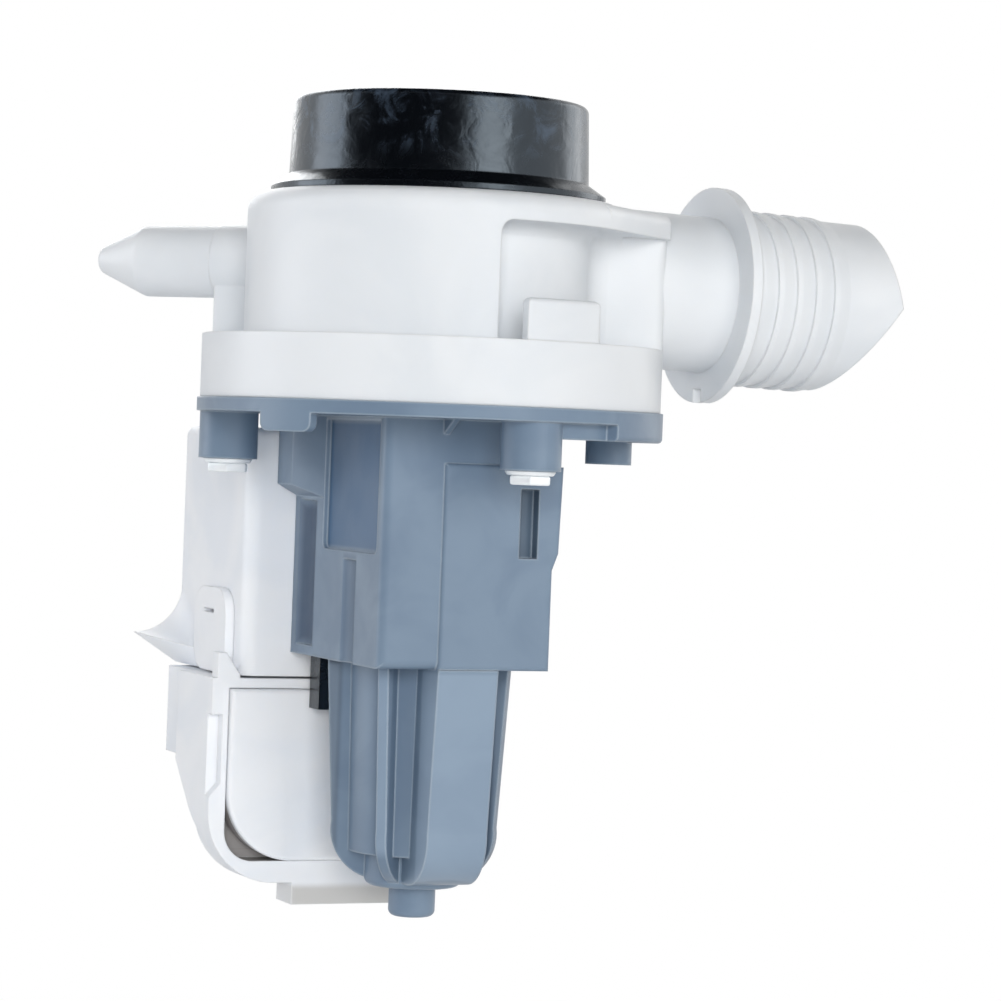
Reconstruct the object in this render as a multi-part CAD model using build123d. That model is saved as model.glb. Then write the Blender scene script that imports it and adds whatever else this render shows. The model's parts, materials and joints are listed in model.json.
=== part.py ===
from build123d import *
import os
from math import acos, atan2, cos, degrees, radians, sin, sqrt, tan

# Washer drain pump. The model is built with zero height at the joint plane between the two
# housings, the rotor axis as Z and the outlet spout along +X. Before it is written it moves
# down, so that the origin of the part is the centre of the inlet mouth. Lengths are
# millimetres and angles are degrees. A drop is a depth below the joint plane.

# Clearances
seat_gap = 0.12
running_gap = 0.05
cover_gap = 0.4
overrun = 1.0

# Volute housing: rim, drum and inlet tube
rim_radius = 40.7
rim_height = 11.2
rim_wall = 2.5
drum_radius = 33.5
drum_height = 36.5
drum_roof = 2.6
drum_shoulder = 3.5
drum_wall = 3.0
inlet_tube_radius = 20.5
inlet_tube_bore = 17.5
inlet_tube_height = 6.5
post_radius = 4.6

# Volute housing: scroll chamber and the pocket beside its tongue
scroll_small_radius = 24.5
scroll_wall = 2.5
scroll_steps = 8
tongue_angle = -9.0
scroll_start_angle = -93.0
scroll_end_angle = -270.0
pocket_top = 31.5
pocket_round = 2.2
pocket_cove = 6.0

# Volute housing: duct between the scroll and the spout
duct_reach = 42.6
duct_half_width = 14.8
duct_top = 36.0
duct_round = 2.2
# Volute housing: spout
spout_offset = 8.0
spout_height = 22.6
spout_droop = 2.0
spout_pivot = 60.0
spout_bore = 11.9
spout_neck_radius = 14.4
flange_reach = 57.0
flange_thickness = 2.0
flange_radius = 20.0
flange_notch_width = 3.2
flange_notch_depth = 2.6
barb_gap = 1.4
barb_pitch_share = 0.128
barb_count = 5
barb_radius = 16.4
barb_step = 0.5
barb_land = 1.1
barb_groove = 0.5
tip_reach = 90.5
tip_low_cut = 33.0
tip_high_cut = 13.0

# Volute housing: tab on the rim, locating spigot and its web
tab_start_angle = 271.0
tab_end_angle = 292.0
tab_height = 7.1
tab_wall = 2.7
tab_inset = 0.3
tab_round = 1.0
spigot_angle = 135.0
spigot_height = 24.7
spigot_radius = 6.5
spigot_root_radius = 6.7
spigot_root_reach = 41.6
spigot_shoulder = 57.0
spigot_tip = 66.6
spigot_tip_radius = 2.2
spigot_round = 1.4
web_reach = 41.0
web_width = 10.0

# Rubber inlet seal
collar_radius = 26.0
collar_flare = 0.5
collar_height = 13.8
collar_round = 1.2
collar_bore = 21.5
lip_radius = 18.6
lip_thickness = 1.2
seal_flange_radius = 29.6
seal_flange_height = 3.2
seal_flange_edge = 1.1

# Motor housing: plate and what stands under it
plate_radius = 41.2
plate_thickness = 2.4
screw_circle = 35.5
screw_count = 3
screw_first_angle = 277.0
boss_radius = 5.2
boss_drop = 10.7
peg_angle = 3.0
peg_circle = 36.0
peg_radius = 4.2
peg_drop = 9.3
skirt_start_angle = 299.0
skirt_end_angle = 378.0
skirt_wall = 3.2
skirt_drop = 5.2
skirt_round = 0.8
ear_start_angle = 204.0
ear_end_angle = 219.0
ear_wall = 2.4
ear_drop = 5.6
ear_round = 1.6
rib_wall_start_angle = 283.0
rib_wall_radius = 38.8
rib_wall_thickness = 2.0
gusset_side = 5.4
gusset_thickness = 1.2
gusset_reach = 4.5
gusset_drop = 5.0
gasket_radius = 32.0
gasket_width = 2.0
gasket_depth = 1.4

# Motor housing: stator box
box_left = 15.9
box_right = 17.5
box_right_waist = 16.8
box_right_foot = 15.7
box_front = 20.0
box_back = 24.0
box_drop = 45.5
box_waist_drop = 25.0
box_foot_top_drop = 28.0
box_corner = 1.6
collar_half_width = 19.6
collar_front = 9.6
collar_drop = 15.0
collar_taper = 2.0
collar_run = 7.0
recess_front = 17.2
recess_back = 9.4
recess_top = 3.0
recess_bottom = 26.0
recess_depth = 0.9
recess_round = 1.4
groove_middle = -4.5
groove_radius = 5.5
groove_depth = 1.1
flute_middle = 17.2
flute_radius = 8.5
flute_top = 17.6
flute_foot = 1.8
flute_depth = 1.2
pilaster_left = 5.0
wide_rib_right = 6.2
pilaster_depth = 0.7
pilaster_top = 10.0
pilaster_round = 0.6
slot_left = 9.2
slot_right = 12.6
slot_top = 14.0
slot_bottom = 26.0
slot_depth = 1.8

# Motor housing: rotor can
tunnel_radius = 8.7
tunnel_wall = 1.3
mouth_radius = 13.0
mouth_depth = 5.0
can_top_radius = 12.2
can_foot_radius = 11.6
can_drop = 79.0
can_rib_angles = (20.0, 65.0, 115.0, 158.0, 225.0, 322.0)
can_rib_width = 2.0
can_rib_top_reach = 16.4
can_rib_foot_reach = 14.8
can_rib_corner = 5.0
can_rib_bow = 9.0
wide_rib_foot_reach = 18.4
can_round = 1.2
can_ring_radius = 8.6
can_ring_drop = 85.0
nub_radius = 4.15
nub_drop = 90.5
nub_dimple_radius = 1.6
nub_dimple_depth = 1.5

# Screws that hold the two housings together
screw_shank_radius = 1.6
screw_head_radius = 3.9
screw_head_height = 1.6
screw_washer_radius = 4.4
screw_washer_height = 0.8
screw_point = 1.2
screw_bite = 8.6
screw_hole_radius = 1.95

# Front bearing shield, its rubber ring and the front bush
shield_hub_radius = 6.2
shield_hub_rise = 3.4
shield_lip = 1.0
ring_section = 0.9
front_bush_radius = 4.0
front_bush_length = 7.0
thrust_radius = 3.4
thrust_thickness = 0.6

# Rotor
shaft_radius = 1.6
magnet_radius = 8.0
magnet_length = 42.0
magnet_bore = 4.6
carrier_collar = 1.6
carrier_collar_radius = 7.0
rotor_end_play = 0.3

# Rear bearing
rear_bush_radius = 4.0
rear_bush_length = 8.0
rear_cup_radius = 6.2
rear_cup_floor = 1.4
rear_cup_drop = 77.0

# Impeller and its lost motion drive
impeller_clearance = 1.2
impeller_plate = 1.8
impeller_radius = 19.0
vane_height = 10.5
vane_count = 5
vane_thickness = 1.8
vane_sweep = 38.0
hub_radius = 8.6
hub_wall = 1.7
hub_floor = 1.6
cavity_height = 6.4
lug_angle = 100.0
damper_angle = 9.0
dog_ring_radius = 3.4
dog_angle = 66.0
drive_gap_angle = 2.0
drive_gap = 0.3
cap_height = 4.2
cap_flange = 1.2
cap_shaft_depth = 2.4

# Stator poles, yoke and rivets
core_half_width = 13.8
core_top = 14.0
core_stack = 26.0
core_leg_width = 8.0
core_shoe_inner = 2.5
core_shoe_back = 12.5
core_front = 14.0
yoke_front = 46.0
yoke_depth = 8.0
rivet_radius = 1.6
rivet_head_radius = 2.8
rivet_head_height = 0.9

# Bobbins and windings
bobbin_wall = 1.2
bobbin_flange = 1.4
bobbin_flange_reach = 4.2
bobbin_front = 26.6
bobbin_back = 44.6
winding_thickness = 3.0
winding_corner = 2.4

# Coil cover, its back plate and its wing
cover_half_width = 25.0
cover_front = 24.0
cover_back = 63.0
cover_top = 5.0
cover_bottom = 50.0
cover_wall = 1.8
cover_corner = 2.6
cover_round = 2.0
boss_relief = 1.0
back_plate_thickness = 1.8
wing_tip_drop = 44.4
wing_reach = 9.4
wing_front_reach = 1.6
wing_front_drop = 46.4
wing_foot_reach = 0.8
wing_front = 47.5
wing_half_bend = 45.0

# Connector cover shell, its front panel and its foot
shell_left = 30.5
shell_right = 9.0
shell_top = cover_bottom + cover_gap
shell_bottom = 87.6
shell_front = 24.0
shell_back = 44.0
shell_wall = 1.8
shell_rail = 3.2
shell_floor = 4.0
shell_corner = 13.0
hollow_corner = 5.6
panel_corner = 12.5
panel_front = 22.6
panel_thickness = 2.0
panel_rim = 3.4
panel_round = 0.8
foot_left = 14.0
foot_drop = 91.6
foot_thickness = 8.0
latch_recess_top = 57.6
latch_recess_bottom = 63.4
heel_back = 32.0
heel_top = 66.0
heel_foot = 78.0
slit_right = 28.4
slit_shoulder = 69.5
slit_top = 57.0
slit_bottom = 73.0
slit_depth = 2.2
lug_left = 29.6
lug_right = 25.3
lug_peak = 28.0
lug_rise = 45.8
lug_shoulder = 49.8
lug_thickness = 3.2

# Cover latch
latch_thickness = 1.8
latch_front = 29.4
latch_back = 47.0
latch_top = 34.6
latch_corner = 5.0
latch_slit_front = 36.0
latch_slit_back = 42.0
latch_slit_top = 38.6
latch_slit_width = 0.7
latch_arm_width = 6.0
latch_arm_drop = 63.0
latch_hook_drop = 58.2
latch_hook_reach = 1.2

# Connector socket and blade terminals
socket_left = 28.2
socket_right = 11.3
socket_front = shell_back + cover_gap
socket_back = 57.0
socket_top = shell_top
socket_bottom = 66.5
socket_wall = 1.4
socket_floor_drop = 55.6
blade_width = 6.3
blade_thickness = 0.8
blade_pitch = 5.2
blade_centre = 19.8
blade_drop = 64.6
blade_root = 2.0
tail_centre = 21.9
tail_width = 2.0
tail_top = 44.5

# Buffer pad between the rotor can and the connector cover
pad_left = 12.4
pad_right = 5.0
pad_front = 17.6
pad_height = 10.0

# Thermal fuse and coil leads
fuse_radius = 1.9
fuse_length = 11.0
fuse_centre = 35.0
lead_radius = 0.8
lead_bend = 2.4
lead_drop = 43.2
near_lead_end = 38.0

STANDING = (Align.CENTER, Align.CENTER, Align.MIN)
CORNER = (Align.MIN, Align.MIN, Align.MIN)

# Heights and sizes that follow from the ones above
inlet_mouth_height = drum_height + seal_flange_height + collar_height
tunnel_outer_radius = tunnel_radius + tunnel_wall
core_bottom = core_top + core_stack
core_leg_inner = core_half_width - core_leg_width
core_leg_centre = core_half_width - core_leg_width / 2
bush_bore = shaft_radius + running_gap
front_bush_top = shield_hub_rise - shield_lip
front_bush_drop = front_bush_length - front_bush_top
carrier_top_drop = front_bush_drop + thrust_thickness + rotor_end_play
magnet_top_drop = carrier_top_drop + carrier_collar
magnet_foot_drop = magnet_top_drop + magnet_length
carrier_foot_drop = magnet_foot_drop + carrier_collar
rear_bush_drop = rear_cup_drop - rear_cup_floor
rear_bush_top_drop = rear_bush_drop - rear_bush_length
impeller_foot = shield_hub_rise + impeller_clearance
cavity_foot = impeller_foot + hub_floor
cavity_top = cavity_foot + cavity_height
cavity_radius = hub_radius - hub_wall
hub_top = cavity_top + cap_flange
cap_top = hub_top + cap_height
shaft_top = cavity_top + cap_shaft_depth
head_drop = boss_drop + screw_washer_height
screw_angles = [screw_first_angle + 360 / screw_count * index for index in range(screw_count)]


def disc(radius, low, high):
    """Disc about the rotor axis between two heights."""
    return Pos(0, 0, low) * Cylinder(radius, high - low, align=STANDING)


def ring(outer, inner, low, high):
    """Ring about the rotor axis between two heights."""
    return disc(outer, low, high) - disc(inner, low, high)


def block(x_low, x_high, y_low, y_high, z_low, z_high):
    """Box given by its limits along the three axes."""
    size = Box(x_high - x_low, y_high - y_low, z_high - z_low, align=CORNER)
    return Pos(x_low, y_low, z_low) * size


def turned(points):
    """Solid turned about Z from (radius, height) corners."""
    return revolve(make_face(Plane.XZ * Polyline(*points, close=True)), Axis.Z)


def along_y(edges, y_low, y_high):
    """Prism along Y of a front view drawn in X and Z."""
    face = make_face(Plane.XZ * edges)
    return Pos(0, y_low, 0) * extrude(face, y_high - y_low, dir=(0, 1, 0))


def sector(outer, inner, start, end, low, high):
    """Part of a ring between two angles and two heights."""
    section = Pos((outer + inner) / 2, (low + high) / 2) * Rectangle(outer - inner, high - low)
    return Rot(0, 0, start) * revolve(Plane.XZ * section, Axis.Z, end - start)


def around(radius, angle, height=0):
    """Place at a radius and an angle about the rotor axis."""
    return Pos(0, 0, height) * Rot(0, 0, angle) * Pos(radius, 0, 0)


def at_screws(shape):
    """Copies of a shape at the places of the housing screws."""
    return [around(screw_circle, angle) * shape for angle in screw_angles]


def point_at(radius, angle):
    """Point in plan at a radius and an angle."""
    return (radius * cos(radians(angle)), radius * sin(radians(angle)))


def upright(edges, height):
    """The edges that run along Z for about the given height."""
    return [edge for edge in edges.filter_by(Axis.Z) if edge.length > height / 2]


# Volute housing


def scroll_chamber():
    """Impeller chamber: a close arc at the tongue, a growing scroll and a wide arc."""
    wide_radius = drum_radius - drum_wall
    growth = wide_radius - scroll_small_radius
    sweep = scroll_end_angle - scroll_start_angle
    scroll_points = [
        point_at(
            scroll_small_radius + growth * step / scroll_steps,
            scroll_start_angle + sweep * step / scroll_steps,
        )
        for step in range(scroll_steps + 1)
    ]
    close_arc = CenterArc(
        (0, 0), scroll_small_radius, scroll_start_angle, tongue_angle - scroll_start_angle
    )
    wide_arc = CenterArc(
        (0, 0), wide_radius, tongue_angle - 360, scroll_end_angle - tongue_angle + 360
    )
    tongue = Line(point_at(scroll_small_radius, tongue_angle), point_at(wide_radius, tongue_angle))
    outline = make_face([close_arc, Spline(*scroll_points), wide_arc, tongue])
    return extrude(outline, drum_height - drum_roof, dir=(0, 0, 1))


def along_spout(shape):
    """Put a shape that stands along Z on the axis of the spout."""
    pivot = Pos(spout_pivot, spout_offset, spout_height) * Rot(0, spout_droop, 0)
    return pivot * Pos(-spout_pivot, 0, 0) * Rot(0, 90, 0) * shape


def spout_outside():
    """Neck, flange, barbs and tip of the spout as one turned solid."""
    barb_root = barb_radius - barb_step
    flange_end = flange_reach + flange_thickness
    first_barb = flange_end + barb_gap
    barb_pitch = (tip_reach - first_barb) * barb_pitch_share
    points = [
        (0, drum_radius / 2),
        (spout_neck_radius, drum_radius / 2),
        (spout_neck_radius, flange_reach),
        (flange_radius, flange_reach),
        (flange_radius, flange_end),
        (barb_root, flange_end),
    ]
    for index in range(barb_count):
        start = first_barb + barb_pitch * index
        points.append((barb_root, start))
        points.append((barb_radius, start))
        points.append((barb_radius, start + barb_land))
        points.append((barb_root, start + barb_pitch - barb_groove))
    points.append((barb_root, tip_reach))
    points.append((0, tip_reach))
    return turned(points)


def tip_knife():
    """What the two slanted cuts take off the tip of the spout."""
    reach = barb_radius + overrun
    profile = Polyline(
        (tip_reach, 0),
        (tip_reach - reach * tan(radians(tip_low_cut)), -reach),
        (tip_reach + overrun, -reach),
        (tip_reach + overrun, reach),
        (tip_reach - reach * tan(radians(tip_high_cut)), reach),
        close=True,
    )
    return extrude(make_face(Plane.XZ * profile), reach, both=True)


def pocket():
    """Recess beside the tongue, between the scroll's close wall and the duct."""
    inner = scroll_small_radius + scroll_wall
    outer = drum_radius + pocket_round * 2
    side = spout_offset - duct_half_width
    far = drum_radius * 2
    keep = Polyline(
        (side / tan(radians(scroll_start_angle)), side),
        (far, side),
        (far, -far),
        (-far / tan(radians(scroll_start_angle)), -far),
        close=True,
    )
    plan = (Circle(outer) - Circle(inner)) & make_face(keep)
    corner = plan.vertices().sort_by_distance((sqrt(inner**2 - side**2), side, 0))[0]
    plan = fillet(corner, pocket_cove)
    tool = Pos(0, 0, rim_height) * extrude(plan, pocket_top - rim_height, dir=(0, 0, 1))
    return fillet(tool.edges().group_by(Axis.Z)[-1], pocket_round)


def duct():
    """Square sided duct that leads from the scroll to the round neck of the spout."""
    body = block(
        scroll_small_radius,
        duct_reach,
        spout_offset - duct_half_width,
        spout_offset + duct_half_width,
        rim_height / 2,
        duct_top,
    )
    ends = upright(body.edges(), duct_top - rim_height)
    far_edges = [edge for edge in ends if edge.center().X > drum_radius]
    return fillet(far_edges + body.edges().group_by(Axis.Z)[-1].filter_by(Axis.X), duct_round)


def duct_roof():
    """Roof that runs straight from the drum to the corner of the duct, over the pocket."""
    corner = (duct_reach, spout_offset - duct_half_width)
    corner_reach = sqrt(corner[0] ** 2 + corner[1] ** 2)
    touch_angle = degrees(atan2(corner[1], corner[0])) - degrees(acos(drum_radius / corner_reach))
    touch = point_at(drum_radius, touch_angle)
    plan = Polyline((0, 0), touch, corner, (duct_reach, spout_offset), close=True)
    slab = extrude(make_face(plan), duct_top - pocket_top, dir=(0, 0, 1))
    middle = ((touch[0] + corner[0]) / 2, (touch[1] + corner[1]) / 2, duct_top - pocket_top)
    return Pos(0, 0, pocket_top) * fillet(slab.edges().sort_by_distance(middle)[0], duct_round)


def flange_notch():
    """Small notch in the lowest part of the spout's flange."""
    return block(
        flange_reach - overrun,
        flange_reach + flange_thickness + overrun,
        -flange_notch_width / 2,
        flange_notch_width / 2,
        -flange_radius - overrun,
        -flange_radius + flange_notch_depth,
    )


def spigot():
    """Locating spigot with its rounded point and the web that carries it."""
    pin = turned([
        (0, drum_radius - drum_wall),
        (spigot_root_radius, drum_radius - drum_wall),
        (spigot_root_radius, spigot_root_reach),
        (spigot_radius, spigot_root_reach),
        (spigot_radius, spigot_shoulder),
        (spigot_tip_radius, spigot_tip),
        (0, spigot_tip),
    ])
    pin = fillet(pin.edges().filter_by(GeomType.CIRCLE).sort_by(Axis.Z)[-2:], spigot_round)
    web = block(
        drum_radius - drum_wall,
        web_reach,
        -web_width / 2,
        web_width / 2,
        rim_height / 2,
        spigot_height,
    )
    return Rot(0, 0, spigot_angle) * (Pos(0, 0, spigot_height) * Rot(0, 90, 0) * pin + web)


def volute_housing():
    """White housing with the scroll chamber, inlet tube, spout and spigot."""
    drum = disc(drum_radius, 0, drum_height)
    drum = fillet(drum.edges().group_by(Axis.Z)[-1], drum_shoulder)
    drum -= pocket()
    level_spout = Rot(0, 90, 0) * spout_outside() - tip_knife() - flange_notch()
    spout = along_spout(Rot(0, -90, 0) * level_spout)
    body = disc(rim_radius, 0, rim_height) + drum + duct() + duct_roof() + spout + spigot()
    tab = sector(
        rim_radius - tab_inset,
        rim_radius - tab_wall,
        tab_start_angle,
        tab_end_angle,
        rim_height - overrun,
        rim_height + tab_height,
    )
    body += fillet(tab.edges().group_by(Axis.Z)[-1], tab_round)
    seat_radius = seal_flange_radius + seat_gap
    body -= disc(seat_radius, drum_height, drum_height + spout_neck_radius)
    body += disc(inlet_tube_radius, drum_height - drum_roof, drum_height + inlet_tube_height)
    body -= scroll_chamber()
    body -= disc(inlet_tube_bore, 0, drum_height + inlet_tube_height + overrun)
    bore_length = tip_reach - scroll_small_radius + overrun
    bore = Pos(0, 0, scroll_small_radius) * Cylinder(spout_bore, bore_length, align=STANDING)
    body -= along_spout(bore)
    channel = ring(rim_radius - rim_wall, drum_radius, 0, rim_height - rim_wall)
    for post in at_screws(disc(post_radius, 0, rim_height - rim_wall)):
        channel -= post
    body -= channel
    pilot = disc(screw_shank_radius + seat_gap, 0, screw_bite + overrun)
    for hole in at_screws(pilot):
        body -= hole
    return body


# Rubber inlet seal


def inlet_seal():
    """Black rubber seal: a collar on a flange, with a lip over the inlet tube."""
    foot = drum_height
    top = inlet_mouth_height
    grip = inlet_tube_radius + seat_gap
    lip_foot = foot + inlet_tube_height + seat_gap
    body = turned([
        (grip, foot),
        (seal_flange_radius, foot),
        (seal_flange_radius, foot + seal_flange_edge),
        (collar_radius + collar_flare, foot + seal_flange_height),
        (collar_radius, top),
        (collar_bore, top),
        (collar_bore, lip_foot + lip_thickness),
        (lip_radius, lip_foot + lip_thickness),
        (lip_radius, lip_foot),
        (grip, lip_foot),
    ])
    outer_edge = body.edges().filter_by(GeomType.CIRCLE).group_by(Axis.Z)[-1].sort_by(SortBy.RADIUS)
    return fillet(outer_edge[-1], collar_round)


# Motor housing


def stator_box():
    """Box under the plate that holds the stator poles, with its recesses and pilaster."""
    view = Polyline(
        (-box_left, 0),
        (box_right, 0),
        (box_right_waist, -box_waist_drop),
        (box_right_foot, -box_foot_top_drop),
        (box_right_foot, -box_drop),
        (-box_left, -box_drop),
        close=True,
    )
    body = along_y(view, -box_front, box_back)
    body = fillet(body.edges().group_by(Axis.Y)[0], box_corner)
    collar_view = Polyline(
        (-collar_half_width, 0),
        (0, 0),
        (0, -collar_drop - collar_taper),
        (-box_left, -collar_drop - collar_taper),
        (-collar_half_width, -collar_drop),
        close=True,
    )
    collar_plan = Polyline(
        (0, collar_front),
        (-box_left, collar_front),
        (-collar_half_width, collar_front + collar_run),
        (-collar_half_width, box_back),
        (0, box_back),
        close=True,
    )
    collar_column = extrude(make_face(collar_plan), collar_drop + collar_taper, dir=(0, 0, -1))
    body += along_y(collar_view, collar_front, box_back) & collar_column
    pilaster = along_y(view, -box_front - pilaster_depth, 0)
    pilaster &= block(
        -pilaster_left,
        box_right,
        -box_front - pilaster_depth,
        0,
        -box_drop,
        -pilaster_top,
    )
    rims = pilaster.edges().group_by(Axis.Y)[0]
    body += fillet(rims, pilaster_round)
    recess = block(
        -collar_half_width - overrun,
        -box_left + recess_depth,
        -recess_front,
        recess_back,
        -recess_bottom,
        -recess_top,
    )
    body -= fillet(recess.edges().filter_by(Axis.X).group_by(Axis.Z)[0], recess_round)
    groove = Cylinder(groove_radius, box_drop - recess_bottom, align=STANDING)
    body -= Pos(
        -box_left - groove_radius + groove_depth,
        groove_middle,
        -box_drop - recess_round,
    ) * groove
    flute = Cylinder(flute_radius, box_drop - flute_top - flute_foot, align=STANDING)
    body -= Pos(
        -box_left - flute_radius + flute_depth,
        flute_middle,
        -box_drop + flute_foot,
    ) * flute
    body -= block(
        slot_left,
        slot_right,
        -box_front - overrun,
        -box_front + slot_depth,
        -slot_bottom,
        -slot_top,
    )
    return body


def can_rib(width_low, width_high, foot_reach, top_reach):
    """One tapering rib of the rotor can, along +X, that curves in to the end ring."""
    low_corner = (foot_reach, -can_drop + can_rib_corner)
    ring_corner = (can_ring_radius, -can_ring_drop + can_round)
    side_view = Curve() + [
        Line((0, -box_drop), (top_reach, -box_drop)),
        Line((top_reach, -box_drop), low_corner),
        RadiusArc(low_corner, ring_corner, can_rib_bow),
        Line(ring_corner, (0, -can_ring_drop + can_round)),
        Line((0, -can_ring_drop + can_round), (0, -box_drop)),
    ]
    rib = extrude(make_face(Plane.XZ * side_view), width_high - width_low, dir=(0, 1, 0))
    return Pos(0, width_low, 0) * rib


def rotor_can():
    """Ribbed can that closes round the rear of the rotor, with its end ring and nub."""
    body = turned([
        (0, -box_drop),
        (can_top_radius, -box_drop),
        (can_foot_radius, -can_drop),
        (can_ring_radius, -can_drop),
        (can_ring_radius, -can_ring_drop),
        (nub_radius, -can_ring_drop),
        (nub_radius, -nub_drop),
        (0, -nub_drop),
    ])
    rounds = body.edges().filter_by(GeomType.CIRCLE).group_by(Axis.Z)
    body = fillet([rounds[0][0], rounds[1].sort_by(SortBy.RADIUS)[-1]], can_round)
    half = can_rib_width / 2
    for angle in can_rib_angles:
        body += Rot(0, 0, angle) * can_rib(-half, half, can_rib_foot_reach, can_rib_top_reach)
    wide_top = box_front + pilaster_depth
    body += Rot(0, 0, -90) * can_rib(-pilaster_left, wide_rib_right, wide_rib_foot_reach, wide_top)
    return body - disc(nub_dimple_radius, -nub_drop, -nub_drop + nub_dimple_depth)


def plate_fittings():
    """Screw bosses, peg, skirt and ear under the plate."""
    body = around(peg_circle, peg_angle) * disc(peg_radius, -peg_drop, 0)
    skirt = sector(
        plate_radius, plate_radius - skirt_wall, skirt_start_angle, skirt_end_angle, -skirt_drop, 0
    )
    skirt_arcs = skirt.edges().filter_by(GeomType.CIRCLE).group_by(Axis.Z)[0]
    body += fillet(skirt_arcs.sort_by(SortBy.RADIUS)[-1], skirt_round)
    body += sector(
        rib_wall_radius,
        rib_wall_radius - rib_wall_thickness,
        rib_wall_start_angle,
        skirt_start_angle,
        -skirt_drop,
        0,
    )
    ear = sector(plate_radius, plate_radius - ear_wall, ear_start_angle, ear_end_angle, -ear_drop, 0)
    ear_corners = [edge for edge in ear.edges().group_by(Axis.Z)[0] if edge.geom_type == GeomType.LINE]
    body += fillet(ear_corners, ear_round)
    gusset = Polyline(
        (-box_front, 0),
        (-box_front - gusset_reach, 0),
        (-box_front - gusset_reach, -plate_thickness),
        (-box_front, -gusset_drop),
        close=True,
    )
    body += Pos(-gusset_side, 0, 0) * extrude(
        make_face(Plane.YZ * gusset), gusset_thickness, dir=(1, 0, 0)
    )
    for boss in at_screws(disc(boss_radius, -boss_drop, 0)):
        body += boss
    return body


def core_space():
    """Room for the stator poles, open at the back and clear of the rotor tunnel."""
    half = core_half_width + seat_gap
    room = block(
        -half,
        half,
        -core_front - seat_gap,
        box_back + overrun,
        -core_bottom - seat_gap,
        -core_top + seat_gap,
    )
    return room - disc(tunnel_outer_radius, -box_drop, 0)


def rotor_tunnel():
    """Blind hole for the rotor, with the mouth for the shield and the rear cup's seat."""
    tunnel_drop = carrier_foot_drop + carrier_collar
    return turned([
        (0, 0),
        (mouth_radius, 0),
        (mouth_radius, -mouth_depth),
        (tunnel_radius, -mouth_depth),
        (tunnel_radius, -tunnel_drop),
        (rear_cup_radius + seat_gap, -tunnel_drop - carrier_collar),
        (rear_cup_radius + seat_gap, -rear_cup_drop),
        (0, -rear_cup_drop),
    ])


def motor_housing():
    """Blue-grey housing: plate, bosses, stator box and rotor can in one moulding."""
    body = disc(plate_radius, -plate_thickness, 0) + plate_fittings() + stator_box() + rotor_can()
    body -= core_space()
    body -= rotor_tunnel()
    groove_outer = gasket_radius + gasket_width / 2 + seat_gap
    groove_inner = gasket_radius - gasket_width / 2 - seat_gap
    body -= ring(groove_outer, groove_inner, -gasket_depth, 0)
    for hole in at_screws(disc(screw_hole_radius, -boss_drop, 0)):
        body -= hole
    return body


def housing_gasket():
    """Square section rubber ring in the plate's groove, flush with the joint plane."""
    outer = gasket_radius + gasket_width / 2
    return ring(outer, outer - gasket_width, -gasket_depth, 0)


def housing_screws():
    """Three hex washer head screws, driven from below into the volute's posts."""
    screw = turned([
        (0, screw_bite),
        (screw_shank_radius / 2, screw_bite),
        (screw_shank_radius, screw_bite - screw_point),
        (screw_shank_radius, -boss_drop),
        (screw_washer_radius, -boss_drop),
        (screw_washer_radius, -head_drop),
        (0, -head_drop),
    ])
    hexagon = Pos(0, 0, -head_drop - screw_head_height) * extrude(
        RegularPolygon(screw_head_radius, 6), screw_head_height
    )
    return at_screws(screw + hexagon)


# Front bearing


def front_shield():
    """Shield that closes the rotor can's mouth and holds the front bush in its hub."""
    outer = mouth_radius - seat_gap
    groove_half = ring_section + seat_gap
    groove_foot = outer - ring_section * 2
    middle = -mouth_depth / 2
    bush_seat = front_bush_radius + seat_gap
    bush_drop = front_bush_drop
    return turned([
        (shaft_radius + seat_gap * 3, shield_hub_rise),
        (shield_hub_radius, shield_hub_rise),
        (shield_hub_radius, 0),
        (outer, 0),
        (outer, middle + groove_half),
        (groove_foot, middle + groove_half),
        (groove_foot, middle - groove_half),
        (outer, middle - groove_half),
        (outer, -mouth_depth),
        (bush_seat, -mouth_depth),
        (bush_seat, front_bush_top),
        (shaft_radius + seat_gap * 3, front_bush_top),
    ])


def shield_ring():
    """Rubber ring in the groove of the shield."""
    reach = mouth_radius - seat_gap - ring_section
    return Pos(0, 0, -mouth_depth / 2) * Torus(reach, ring_section)


def front_bush():
    """Front bearing bush."""
    return ring(front_bush_radius, bush_bore, -front_bush_drop, front_bush_top)


# Rotor


def rotor_shaft():
    """Steel shaft from the rear bush to the impeller's cap."""
    return disc(shaft_radius, -rear_bush_drop + seat_gap, shaft_top)


def rotor_magnet():
    """Ferrite magnet tube."""
    return ring(magnet_radius, magnet_bore, -magnet_foot_drop, -magnet_top_drop)


def rotor_carrier():
    """Plastic sleeve that holds the magnet on the shaft between two collars."""
    sleeve = disc(magnet_bore - seat_gap, -carrier_foot_drop, -carrier_top_drop)
    sleeve += disc(carrier_collar_radius, -magnet_top_drop, -carrier_top_drop)
    sleeve += disc(carrier_collar_radius, -carrier_foot_drop, -magnet_foot_drop)
    return sleeve - disc(shaft_radius + seat_gap, -carrier_foot_drop, -carrier_top_drop)


def thrust_washers():
    """One washer under the front bush and one on the rear bush."""
    bore = shaft_radius + seat_gap
    front = ring(thrust_radius, bore, -front_bush_drop - thrust_thickness, -front_bush_drop)
    rear = ring(thrust_radius, bore, -rear_bush_top_drop, thrust_thickness - rear_bush_top_drop)
    return [front, rear]


def rear_bush():
    """Rear bearing bush."""
    return ring(rear_bush_radius, bush_bore, -rear_bush_drop, -rear_bush_top_drop)


def rear_cup():
    """Rubber cup that holds the rear bush in the end of the can."""
    cup = disc(rear_cup_radius, -rear_cup_drop, -rear_bush_top_drop)
    return cup - disc(rear_bush_radius + seat_gap, -rear_bush_drop, -rear_bush_top_drop)


# Impeller


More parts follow.
